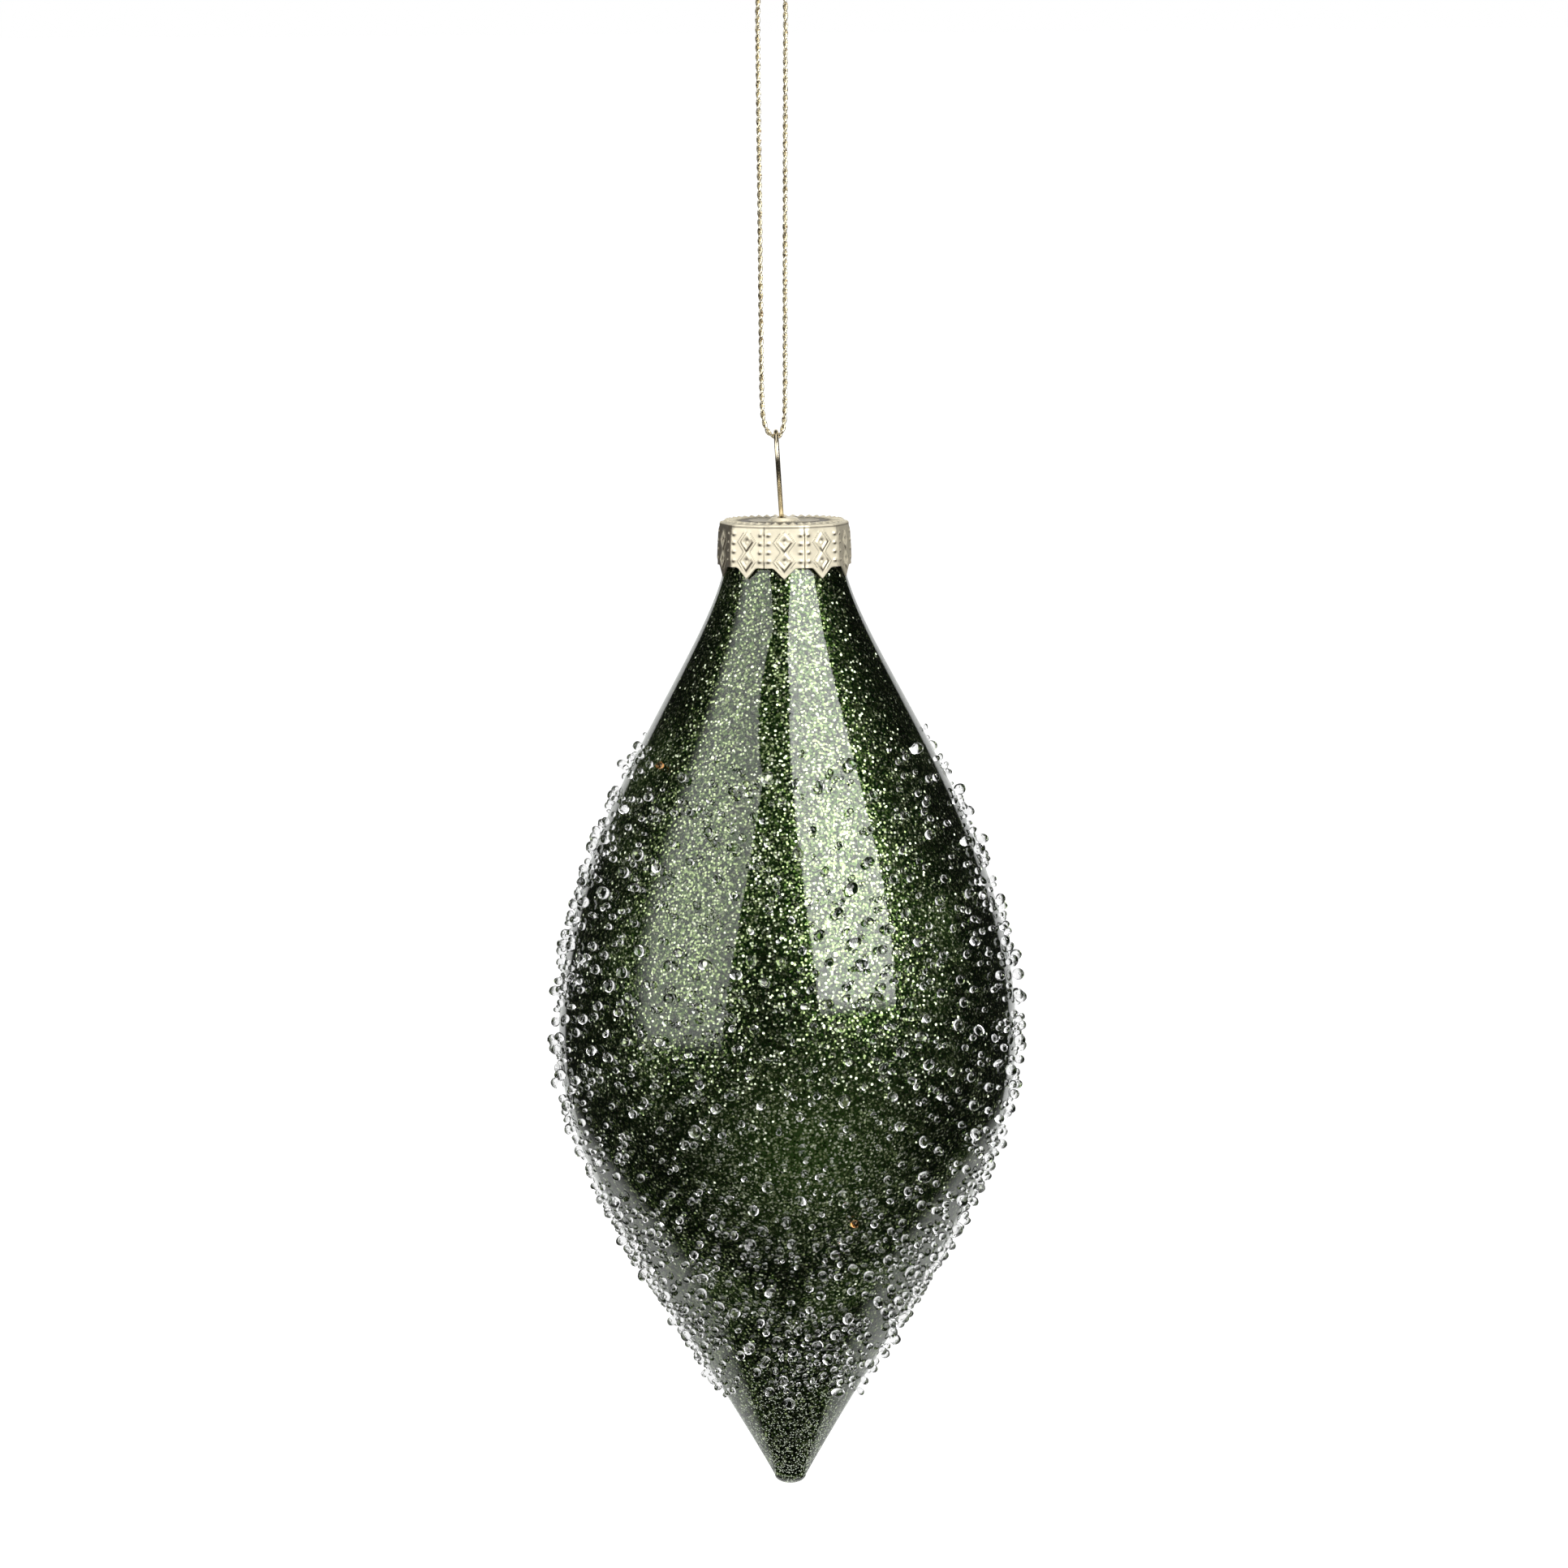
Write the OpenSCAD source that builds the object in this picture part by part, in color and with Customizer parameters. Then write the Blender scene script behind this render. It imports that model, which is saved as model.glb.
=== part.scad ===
// Hanging glass ornament: a hollow blown drop with a glitter coat inside and clear glass beads
// outside, a stamped crown cap with a sprung wire eye, and a loop of thin metallic cord.
// +Z is up, -Y is the front, and the origin is the inside of the wire eye, under its crown.

/* [Glass drop] */
// Widest diameter of the glass
belly_d = 60; // [50:1:75]
// Outside diameter of the neck under the cap
neck_d = 15.3; // [13:0.1:18]
// Height of the glass from the lip of the neck to the tip
glass_h = 126.6; // [115:0.1:150]
// Depth of the widest circle below the lip
belly_depth = 67.1; // [60:0.1:72]
// Straight length of the neck below the lip
neck_straight = 3.3; // [2:0.1:5]
// How far the neck's line runs on before it opens out
neck_pull = 11.8; // [9:0.1:16]
// How far the belly's line runs on upwards
shoulder_pull = 29; // [24:0.5:33]
// How far the belly's line runs on downwards
belly_pull = 18.2; // [14:0.1:24]
// How far the line of the lower cone runs on upwards
cone_pull = 30.8; // [24:0.1:34]
// Angle between the lower cone and the axis at the tip
cone_angle = 29.8; // [26:0.1:34]
// Diameter at which the cone turns into the rounded tip
tip_d = 4.2; // [3.4:0.1:6]
// Height of the rounded tip
tip_h = 1.25; // [1:0.05:2.2]
// Thickness of the blown wall
glass_wall = 0.5; // [0.4:0.05:1.3]

/* [Glitter coat] */
// Thickness of the glitter coat inside the glass
coat_t = 0.15; // [0.1:0.01:0.3]
// Film between the glass and the glitter coat
coat_film = 0.02; // [0.01:0.01:0.1]
// Depth below the lip at which the coat begins
coat_start = 1; // [0.5:0.1:3]

/* [Beads] */
// Number of beads in one band of nine
band_beads = 120; // [60:10:130]
// Smallest bead diameter
bead_d_min = 0.9; // [0.8:0.05:1.4]
// Largest bead diameter
bead_d_max = 1.9; // [1.5:0.05:2.1]
// How much rarer the large beads are than the small ones
bead_skew = 1.4; // [1:0.1:2]
// Film of glue between the glass and a bead
glue_film = 0.05; // [0.03:0.01:0.1]
// Depth of the highest beads below the lip
beads_from = 27.5; // [22:0.5:40]
// Depth below the lip at which the beads are at their full density
beads_full = 52; // [42:1:70]
// Depth below the lip at which the beads begin to crowd
beads_crowd = 90; // [84:1:96]
// Depth of the lowest beads below the lip
beads_to = 114.5; // [100:0.5:118]
// Density of the highest beads, as a share of the full density
thin_share = 0.3; // [0.1:0.05:1]
// Density just above the crowded beads, as a share of the full density
gap_share = 0.75; // [0.5:0.05:1]
// Density of the crowded beads, as a share of the full density
crowd_share = 1.4; // [1:0.05:1.5]
// How far a bead may lie from its even place
bead_scatter = 0.7; // [0:0.05:0.8]

/* [Crown cap] */
// Thickness of the stamped sheet
sheet_t = 0.25; // [0.2:0.01:0.35]
// Number of petals round the skirt
petals = 10; // [8:1:12]
// Room between the neck and the flat petals under the rim
neck_room = 0.32; // [0.1:0.01:0.6]
// Room between the shoulder of the glass and the petal tips
shoulder_room = 0.15; // [0.05:0.01:0.4]
// Room between the lip of the glass and the underside of the cap
lip_room = 0.05; // [0.02:0.01:0.2]
// Depth of the scalloped edge below the rim
scallop_depth = 5.4; // [4.6:0.1:5.8]
// Depth of the petal tips below the rim
petal_depth = 6.85; // [6.3:0.05:7.6]
// Slope of the petal tips against the horizontal
petal_slope = 45; // [38:1:52]
// Radius of the scallops between the tips
scallop_r = 0.7; // [0.3:0.1:1]
// Width of the slits between the petals
slit_w = 0.16; // [0.1:0.01:0.3]
// Solid band between the rim and the slits
slit_from = 0.9; // [0.6:0.1:2]
// How far the corners of the rim are rounded off
corner_cut = 0.19; // [0.05:0.01:0.3]
// Height of the raised stamping
emboss_h = 0.1; // [0.05:0.01:0.2]
// Width of a lozenge on a petal
lozenge_w = 1.95; // [1.4:0.05:2.2]
// Height of a lozenge on a petal
lozenge_h = 2.45; // [2:0.05:2.5]
// Width of the ridges that draw the lozenges
ridge_w = 0.26; // [0.15:0.01:0.35]
// Diameter of the dots beside the lozenges
dot_d = 0.44; // [0.3:0.02:0.5]
// Number of small teeth stamped round the top
teeth = 42; // [30:2:60]
// Diameter of the boss that the wire passes through
boss_d = 4.2; // [4:0.1:5]
// Height of the boss above the top
boss_h = 0.45; // [0.3:0.05:0.7]

/* [Wire eye] */
// Diameter of the wire
wire_d = 0.62; // [0.5:0.02:0.8]
// Height from the top of the cap to the inside of the eye's crown
eye_h = 11.4; // [9:0.1:15]
// Clear width inside the eye
eye_w = 5.6; // [5:0.1:8]
// Lean of the wire away from the axis
eye_lean = 3.4; // [0:0.1:6]
// Distance of the wire's foot from the axis of the glass
foot_off = 0.3; // [0:0.05:0.5]
// Half the distance between the legs where they pass the cap
leg_half = 0.75; // [0.6:0.05:1]
// Room round the legs in the slot of the cap
slot_room = 0.2; // [0.1:0.02:0.3]
// Depth of the sprung feet below the top of the cap
foot_depth = 9.5; // [7:0.1:12]
// Room between the sprung feet and the coated glass
foot_room = 0.2; // [0.1:0.05:0.6]
// Inner radius of the bends in the legs
leg_bend = 0.7; // [0.4:0.1:1]
// Straight length of the turned-up ends of the legs, past the bends
leg_hook = 0.5; // [0.3:0.1:1]

/* [Cord] */
// Diameter of the cord
cord_d = 0.7; // [0.5:0.05:0.75]
// Room between the cord and what it passes
cord_room = 0.03; // [0.02:0.01:0.1]
// Diameter of the knot
knot_d = 2.9; // [2.5:0.1:3.6]
// Height of the knot
knot_h = 2.6; // [2:0.1:3.2]

/* [Hidden] */

// Levels and the common axis of the cap and the glass
cap_top = -eye_h;
lip_z = cap_top - sheet_t - lip_room;
axis_x = eye_h * sin(eye_lean) + foot_off;

// Outline of the glass as two curves and a rounded tip
neck_r = neck_d / 2;
belly_r = belly_d / 2;
neck_end = lip_z - neck_straight;
belly_z = lip_z - belly_depth;
tip_z = lip_z - glass_h;
tip_top = tip_z + tip_h;
curve_steps = 22;
tip_steps = 6;
lip_steps = 6;
shoulder_curve = [
    [neck_r, neck_end], [neck_r, neck_end - neck_pull],
    [belly_r, belly_z + shoulder_pull], [belly_r, belly_z]
];
cone_curve = [
    [belly_r, belly_z], [belly_r, belly_z - belly_pull],
    [tip_d / 2 + cone_pull * sin(cone_angle), tip_top + cone_pull * cos(cone_angle)],
    [tip_d / 2, tip_top]
];

function bezier(p, t) =
    pow(1 - t, 3) * p[0] + 3 * pow(1 - t, 2) * t * p[1] + 3 * (1 - t) * t * t * p[2]
    + pow(t, 3) * p[3];
function bezier_way(p, t) =
    pow(1 - t, 2) * (p[1] - p[0]) + 2 * (1 - t) * t * (p[2] - p[1]) + t * t * (p[3] - p[2]);
function unit(v) = v / norm(v);

// Point and outward direction on the glass at u, from 0 at the neck over 1 at the belly to 2
function glass_curve(u) = u < 1 ? shoulder_curve : cone_curve;
function glass_point(u) = bezier(glass_curve(u), u < 1 ? u : u - 1);
function glass_way(u) = unit(bezier_way(glass_curve(u), u < 1 ? u : u - 1));
function glass_out(u) = let (w = glass_way(u)) [-w[1], w[0]];
function glass_side(inset) = [
    for (i = [0:2 * curve_steps])
        let (u = i / curve_steps) glass_point(u) - inset * glass_out(u)
];

// Radius of the glass at a level, from its outline
glass_levels = [for (i = [2 * curve_steps:-1:0]) let (p = glass_point(i / curve_steps)) [p[1], p[0]]];
function glass_r(z) = z > neck_end ? neck_r : lookup(z, glass_levels);

// Rounded end of a side line, down to the axis
function round_end(from, drop) = [
    for (i = [1:tip_steps])
        let (a = 90 * i / tip_steps) [from[0] * cos(a), from[1] - drop * sin(a)]
];
function closed_side(side, drop) = concat(side, round_end(side[len(side) - 1], drop));
function reversed(line) = [for (i = [len(line) - 1:-1:0]) line[i]];

module glass_drop() {
    outer = closed_side(glass_side(0), tip_h);
    inner = closed_side(glass_side(glass_wall), tip_h / 2);
    lip_r = glass_wall / 2;
    lip = [
        for (i = [0:lip_steps])
            let (a = 180 - 180 * i / lip_steps)
                [neck_r - lip_r + lip_r * cos(a), lip_z - lip_r + lip_r * sin(a)]
    ];
    color("darkseagreen", 0.4)
        translate([axis_x, 0, 0])
            rotate_extrude($fn = 96)
                polygon(concat(lip, outer, reversed(inner)));
}

// Thin coat that lies against the inside of the glass
module glitter_coat() {
    outside = glass_wall + coat_film;
    inside = outside + coat_t;
    top = lip_z - coat_start;
    outer = closed_side(glass_side(outside), tip_h / 2 - coat_film);
    inner = closed_side(glass_side(inside), tip_h / 2 - coat_film - coat_t);
    color("darkgreen")
        translate([axis_x, 0, 0])
            rotate_extrude($fn = 96)
                polygon(concat(
                    [[neck_r - inside, top], [neck_r - outside, top]], outer, reversed(inner)
                ));
}

// Beads lie on a spiral that spreads them by the area and the density of each level
bead_bands = 9;
bead_count = band_beads * bead_bands;
spread_steps = 80;
golden_turn = 180 * (3 - sqrt(5));
bead_seed = 11;
scatter_list = rands(-1, 1, 3 * bead_count, bead_seed);
u_levels = [
    for (i = [2 * spread_steps:-1:0])
        let (u = i / spread_steps) [glass_point(u)[1], u]
];
u_from = lookup(lip_z - beads_from, u_levels);
u_to = lookup(lip_z - beads_to, u_levels);
function spread_u(i) = u_from + (u_to - u_from) * i / spread_steps;

// Density by depth: thin at the top, full round the belly, a thinner stretch, then crowded
gap_span = 12;
change_span = 5;
density_levels = [
    [beads_from, thin_share], [beads_full, 1],
    [beads_crowd - gap_span - change_span, 1], [beads_crowd - gap_span, gap_share],
    [beads_crowd - change_span, gap_share], [beads_crowd, crowd_share],
    [beads_to - 2 * change_span, crowd_share], [beads_to, 1]
];
function density(z) = lookup(lip_z - z, density_levels);
function ring_weight(i) =
    let (a = glass_point(spread_u(i - 1)), b = glass_point(spread_u(i)))
        norm(b - a) * (a[0] + b[0]) * density((a[1] + b[1]) / 2);
spread_sums = [
    for (i = 0, sum = 0; i <= spread_steps; i = i + 1, sum = sum + ring_weight(i)) [sum, spread_u(i)]
];
spread_total = spread_sums[spread_steps][0];

module bead(i) {
    scatter = [for (k = [0:2]) scatter_list[3 * i + k]];
    u = lookup(spread_total * (i + 0.5) / bead_count, spread_sums);
    place = glass_point(u) + bead_scatter * scatter[0] * glass_way(u);
    r = (bead_d_min + (bead_d_max - bead_d_min) * pow((scatter[2] + 1) / 2, bead_skew)) / 2;
    centre = place + (r + glue_film) * glass_out(u);
    turn = i * golden_turn + bead_scatter * scatter[1] / centre[0] * 180 / PI;
    rotate([0, 0, turn])
        translate([centre[0], 0, centre[1]])
            sphere(r = r, $fn = 24);
}

module bead_band(band) {
    color("white", 0.6)
        translate([axis_x, 0, 0])
            for (i = [band_beads * (band - 1):band_beads * band - 1]) bead(i);
}

// Cap: the flats of its petals stand round the neck and open until the tips clear the shoulder
petal_turn = 360 / petals;
flat_r = neck_r + neck_room + sheet_t;
flare = atan(max(0, glass_r(cap_top - petal_depth) + shoulder_room + sheet_t - flat_r) / petal_depth);
rim_r = flat_r / cos(petal_turn / 2) - corner_cut;
rim_round = sheet_t;
scallop_steps = 6;
function petal_half(depth) =
    (flat_r + depth * tan(flare)) * tan(petal_turn / 2) - slit_w / 2;

// Half of the petal's lower edge, from the slit over the scallop to the tip
scallop_x = (scallop_r * (1 / cos(petal_slope) - 1) + petal_depth - scallop_depth) / tan(petal_slope);
half_edge = concat(
    [[petal_half(scallop_depth), scallop_depth]],
    [
        for (i = [0:scallop_steps])
            let (a = petal_slope * i / scallop_steps)
                [scallop_x - scallop_r * sin(a), scallop_depth + scallop_r * (1 - cos(a))]
    ]
);
petal_outline = concat(
    [[-petal_half(0), 0], [petal_half(0), 0]],
    half_edge,
    [[0, petal_depth]],
    reversed([for (p = half_edge) [-p[0], p[1]]])
);

// Stamped pattern of one petal: two lozenges, a stud in each, and a column of dots on each side
pattern_top = 0.82;
lozenge_gap = 0.1;
lozenge_first = pattern_top + lozenge_h / 2;
lozenge_steps = [lozenge_first, lozenge_first + lozenge_h + lozenge_gap];
hole_w = lozenge_w - 2.6 * ridge_w;
hole_h = lozenge_h - 3.2 * ridge_w;
stud_w = 1.8 * ridge_w;
stud_h = 2.2 * ridge_w;
dots = 4;
dot_margin = 0.6;
dot_x = petal_half(0) - dot_d;
dot_pitch = (scallop_depth - 2 * dot_d - dot_margin) / (dots - 1);
emboss_root = 0.05;
module lozenge(w, h) {
    polygon([[-w / 2, 0], [0, -h / 2], [w / 2, 0], [0, h / 2]]);
}
module petal_pattern() {
    for (depth = lozenge_steps)
        translate([0, depth]) {
            difference() {
                lozenge(lozenge_w, lozenge_h);
                lozenge(hole_w, hole_h);
            }
            lozenge(stud_w, stud_h);
        }
    for (side = [-1, 1], k = [0:dots - 1])
        translate([side * dot_x, dot_margin + dot_d / 2 + k * dot_pitch])
            circle(d = dot_d, $fn = 16);
}

// A petal lies in its own plane, with its rim edge along X and its depth along Y
module petal() {
    linear_extrude(height = sheet_t) polygon(petal_outline);
    translate([0, 0, sheet_t - emboss_root])
        linear_extrude(height = emboss_h + emboss_root) petal_pattern();
}

// Petals run a little way into the solid band under the rim
petal_root = 0.01;
module cap_skirt() {
    for (i = [0:petals - 1])
        rotate([0, 0, i * petal_turn - 90])
            translate([flat_r, 0, cap_top - rim_round])
                rotate([0, -flare, 0])
                    rotate([-90, 0, 90])
                        translate([0, -petal_root, -sheet_t])
                            petal();
}

// Flat top with a rounded rim, and the short solid band from which the petals hang
rim_steps = 4;
module cap_top_sheet() {
    band_r = rim_r - 1.2 * sheet_t;
    translate([0, 0, cap_top])
        rotate_extrude($fn = 96)
            polygon(concat(
                [[0, -sheet_t], [0, 0]],
                [
                    for (i = [0:rim_steps])
                        let (a = 90 - 90 * i / rim_steps)
                            [rim_r - rim_round + rim_round * cos(a), -rim_round + rim_round * sin(a)]
                ],
                [[rim_r, -slit_from], [band_r, -slit_from], [band_r, -sheet_t]]
            ));
}

// Boss, ridge and teeth stamped into the top
tooth_out_r = rim_r - 0.45;
tooth_in_r = rim_r - 1.7;
tooth_half = 0.32;
ring_r = rim_r - 2.35;
ring_foot = 0.25;
ring_crest = 0.13;
module cap_top_pattern() {
    height = emboss_h + emboss_root;
    translate([0, 0, cap_top - emboss_root]) {
        for (i = [0:teeth - 1])
            rotate([0, 0, i * 360 / teeth])
                linear_extrude(height = height)
                    polygon([[tooth_out_r, -tooth_half], [tooth_out_r, tooth_half], [tooth_in_r, 0]]);
        rotate_extrude($fn = 96)
            polygon([
                [ring_r - ring_foot, 0], [ring_r + ring_foot, 0],
                [ring_r + ring_crest, height], [ring_r - ring_crest, height]
            ]);
        cylinder(h = boss_h + emboss_root, d1 = boss_d, d2 = boss_d - 2 * boss_h, $fn = 72);
    }
}

// Slot through the boss for the two legs of the wire
module leg_slot() {
    slot_r = wire_d / 2 + slot_room;
    height = boss_h + 4 * sheet_t;
    translate([-foot_off, 0, cap_top - 2 * sheet_t]) {
        for (side = [-1, 1])
            translate([0, side * leg_half, 0]) cylinder(h = height, r = slot_r, $fn = 48);
        translate([-slot_r, -leg_half, 0]) cube([2 * slot_r, 2 * leg_half, height]);
    }
}

module crown_cap() {
    color("wheat")
        translate([axis_x, 0, 0])
            difference() {
                union() {
                    cap_top_sheet();
                    cap_skirt();
                    cap_top_pattern();
                }
                leg_slot();
            }
}

// Wire: one bent piece in the YZ plane, with its crown above the origin
wire_r = wire_d / 2;
eye_r = (eye_w + wire_d) / 2;
eye_centre = [0, wire_r - eye_r];
slot_point = [leg_half, cap_top + boss_h];
slot_reach = norm(slot_point - eye_centre);
leg_angle = atan2(slot_point[1] - eye_centre[1], slot_point[0]) + acos(eye_r / slot_reach);
eye_end = eye_centre + eye_r * [cos(leg_angle), sin(leg_angle)];
leg_way = unit(slot_point - eye_end);
leg_turn_point = slot_point + (boss_h + 2 * sheet_t) * leg_way;
bore_r = neck_r - glass_wall - coat_film - coat_t;
foot_half = bore_r - foot_room - wire_r - leg_bend;
foot_point = [foot_half, cap_top - foot_depth];
bend_r = leg_bend + wire_r;
hook_lean = 35;
hook_way = [sin(hook_lean), cos(hook_lean)];
hook_turn = acos(unit(foot_point - leg_turn_point) * hook_way);
hook_point = foot_point + (bend_r * tan(hook_turn / 2) + leg_hook) * hook_way;
leg_points = [eye_end, leg_turn_point, foot_point, hook_point];

function way_angle(v) = atan2(v[1], v[0]);
function turn_at(k) =
    let (
        a = way_angle(leg_points[k] - leg_points[k - 1]),
        b = way_angle(leg_points[k + 1] - leg_points[k]),
        t = b - a
    )
        t > 180 ? t - 360 : t < -180 ? t + 360 : t;
function arc(centre, r, from, sweep, steps) = [
    for (i = [0:steps]) let (a = from + sweep * i / steps) centre + r * [cos(a), sin(a)]
];

// Points round the bend at a corner of the leg
bend_steps = 6;
function bend(k) =
    let (
        way = unit(leg_points[k] - leg_points[k - 1]),
        turn = turn_at(k),
        start = leg_points[k] - bend_r * tan(abs(turn) / 2) * way,
        centre = start + sign(turn) * bend_r * [-way[1], way[0]]
    )
        arc(centre, bend_r, way_angle(start - centre), turn, bend_steps);
leg_line = concat(bend(1), bend(2), [hook_point]);
crown_steps = 24;
wire_line = concat(
    reversed([for (p = leg_line) [-p[0], p[1]]]),
    arc(eye_centre, eye_r, 180 - leg_angle, 2 * leg_angle - 180, crown_steps),
    leg_line
);

// Round rod or cord of diameter d, swept along a line in the XZ plane
function line_way(line, i) = unit(line[min(len(line) - 1, i + 1)] - line[max(0, i - 1)]);
module swept(line, d, sides) {
    rings = [
        for (i = [0:len(line) - 1])
            let (way = line_way(line, i), side = [-way[1], way[0]])
                for (k = [0:sides - 1])
                    let (
                        a = 360 * (k + 0.5) / sides,
                        p = line[i] + d / 2 * cos(a) * side
                    )
                        [p[0], d / 2 * sin(a), p[1]]
    ];
    last = (len(line) - 1) * sides;
    polyhedron(
        points = rings,
        faces = concat(
            [[for (k = [0:sides - 1]) k]],
            [
                for (i = [0:len(line) - 2], k = [0:sides - 1])
                    let (n = (k + 1) % sides, a = i * sides, b = a + sides)
                        [a + k, b + k, b + n, a + n]
            ],
            [[for (k = [sides - 1:-1:0]) last + k]]
        )
    );
}

module wire_eye() {
    color("gold")
        rotate([0, -eye_lean, 0])
            rotate([0, 0, 90])
                swept(wire_line, wire_d, 12);
}

// Route of the cord in the XZ plane: up the left strand, round the top loop, down the right strand
knot_z = 64.5;
strand_half = 0.42;
cord_route = [
    [-0.03, -0.38], [-0.55, -0.22], [-1.1, 0.35], [-1.5, 1.4], [-1.75, 3], [-1.85, 7],
    [-1.88, 14], [-1.9, 22], [-1.93, 30], [-1.98, 39], [-2.02, 48], [-2, 56],
    [-1.55, 60], [-0.75, 63], [-0.42, 64.6], [-0.42, 65.9], [-0.42, 67.2], [-0.95, 68.6],
    [-1.95, 70.1], [-2.25, 71.8], [-1.55, 73.5], [0, 74.2], [1.55, 73.5], [2.25, 71.8],
    [1.95, 70.1], [0.95, 68.6], [0.42, 67.2], [0.42, 65.9], [0.42, 64.6], [0.7, 63],
    [1.35, 60], [1.6, 56], [1.55, 48], [1.47, 39], [1.4, 30], [1.33, 22],
    [1.28, 14], [1.24, 7], [1.18, 3], [1.05, 1.4], [0.8, 0.35], [0.45, -0.22], [0.03, -0.38]
];

// Smooth curve through the route, two steps to a stretch
route_last = len(cord_route) - 1;
function route(i) = cord_route[max(0, min(route_last, i))];
function between(a, b, c, d) = (9 * (b + c) - (a + d)) / 16;
cord_line = [
    for (i = [0:route_last])
        for (half = [0:i < route_last && norm(route(i + 1) - route(i)) > 1.5 ? 1 : 0])
            half == 0 ? route(i) : between(route(i - 1), route(i), route(i + 1), route(i + 2))
];

module hanging_cord() {
    color("khaki") swept(cord_line, cord_d, 8);
}

// Knot that gathers the two strands under the small top loop
knot_flat = knot_d * 0.3;
knot_steps = 12;
module cord_knot() {
    color("khaki")
        translate([0, 0, knot_z])
            difference() {
                rotate_extrude($fn = 64)
                    polygon(concat(
                        [[0, 0]],
                        [
                            for (i = [0:knot_steps])
                                let (a = -90 + 180 * i / knot_steps)
                                    [
                                        knot_flat + (knot_d / 2 - knot_flat) * cos(a),
                                        knot_h / 2 * (1 + sin(a))
                                    ]
                        ],
                        [[0, knot_h]]
                    ));
                for (side = [-1, 1])
                    translate([side * strand_half, 0, -knot_h / 2])
                        cylinder(h = 2 * knot_h, d = cord_d + 2 * cord_room, $fn = 32);
            }
}

glass_drop();
glitter_coat();
crown_cap();
wire_eye();
hanging_cord();
cord_knot();
bead_band(1);  // bead_band_1
bead_band(2);  // bead_band_2
bead_band(3);  // bead_band_3
bead_band(4);  // bead_band_4
bead_band(5);  // bead_band_5
bead_band(6);  // bead_band_6
bead_band(7);  // bead_band_7
bead_band(8);  // bead_band_8
bead_band(9);  // bead_band_9
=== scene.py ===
"""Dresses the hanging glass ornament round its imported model.

The frame gives the places: the clear drop with its glitter lining, the beads glued to it, the
stamped cap, the sprung wire eye, the metallic cord and its knot. Each sub-assembly is a class
that holds its own sizes, builds its meshes and puts its finish on. All sizes are in metres.
"""

import itertools
import logging
import math
from abc import ABC, abstractmethod
from collections.abc import Sequence
from dataclasses import dataclass, field
from enum import Enum
from typing import Self

import bmesh
import bpy
import numpy as np
from mathutils import Matrix, Vector, noise
from mathutils.kdtree import KDTree


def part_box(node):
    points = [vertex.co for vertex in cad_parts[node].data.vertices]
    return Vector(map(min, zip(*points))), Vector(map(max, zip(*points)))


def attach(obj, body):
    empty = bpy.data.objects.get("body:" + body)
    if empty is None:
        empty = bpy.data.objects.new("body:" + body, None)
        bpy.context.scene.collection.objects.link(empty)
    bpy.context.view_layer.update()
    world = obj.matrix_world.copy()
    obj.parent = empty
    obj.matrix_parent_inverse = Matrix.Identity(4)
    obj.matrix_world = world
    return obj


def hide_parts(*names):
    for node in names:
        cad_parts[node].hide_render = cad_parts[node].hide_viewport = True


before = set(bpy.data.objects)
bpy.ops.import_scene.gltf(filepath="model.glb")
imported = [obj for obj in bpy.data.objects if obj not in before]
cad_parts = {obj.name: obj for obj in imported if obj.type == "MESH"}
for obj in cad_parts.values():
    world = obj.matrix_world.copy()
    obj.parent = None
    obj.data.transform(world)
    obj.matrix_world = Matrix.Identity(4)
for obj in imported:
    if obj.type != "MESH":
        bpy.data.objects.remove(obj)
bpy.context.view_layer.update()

LOG = logging.getLogger("ornament")
BODY = "root"
MM = 0.001
# Steps of a smooth curve between two of the points that it passes through
SPAN_STEPS = 24
# Sine below which a line counts as running along Y
ALONG_Y = 0.1
# Least number to divide by
TINY = 1e-9
# Inputs of Blender's Mix node that take its two colours
MIX_COLOURS = (6, 7)
Faces = list[np.ndarray]
Pair = tuple[float, float]
Place = tuple[float, float, float]
Colour = tuple[float, float, float]
Socket = bpy.types.NodeSocket


class Slot(Enum):
    """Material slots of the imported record."""

    GLASS = "clear_glass"
    GLITTER = "green_glitter"
    CAP = "champagne_metal"
    WIRE = "gold_wire"
    CORD = "metallic_cord"
    BEADS = "bead_glass"


class BeadKind(Enum):
    """How finely a bead's ball is divided."""

    LARGE = 3
    SMALL = 2


def unit(vectors: np.ndarray) -> np.ndarray:
    """Vectors of length one along the last axis."""
    return vectors / np.linalg.norm(vectors, axis=-1, keepdims=True)


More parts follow.
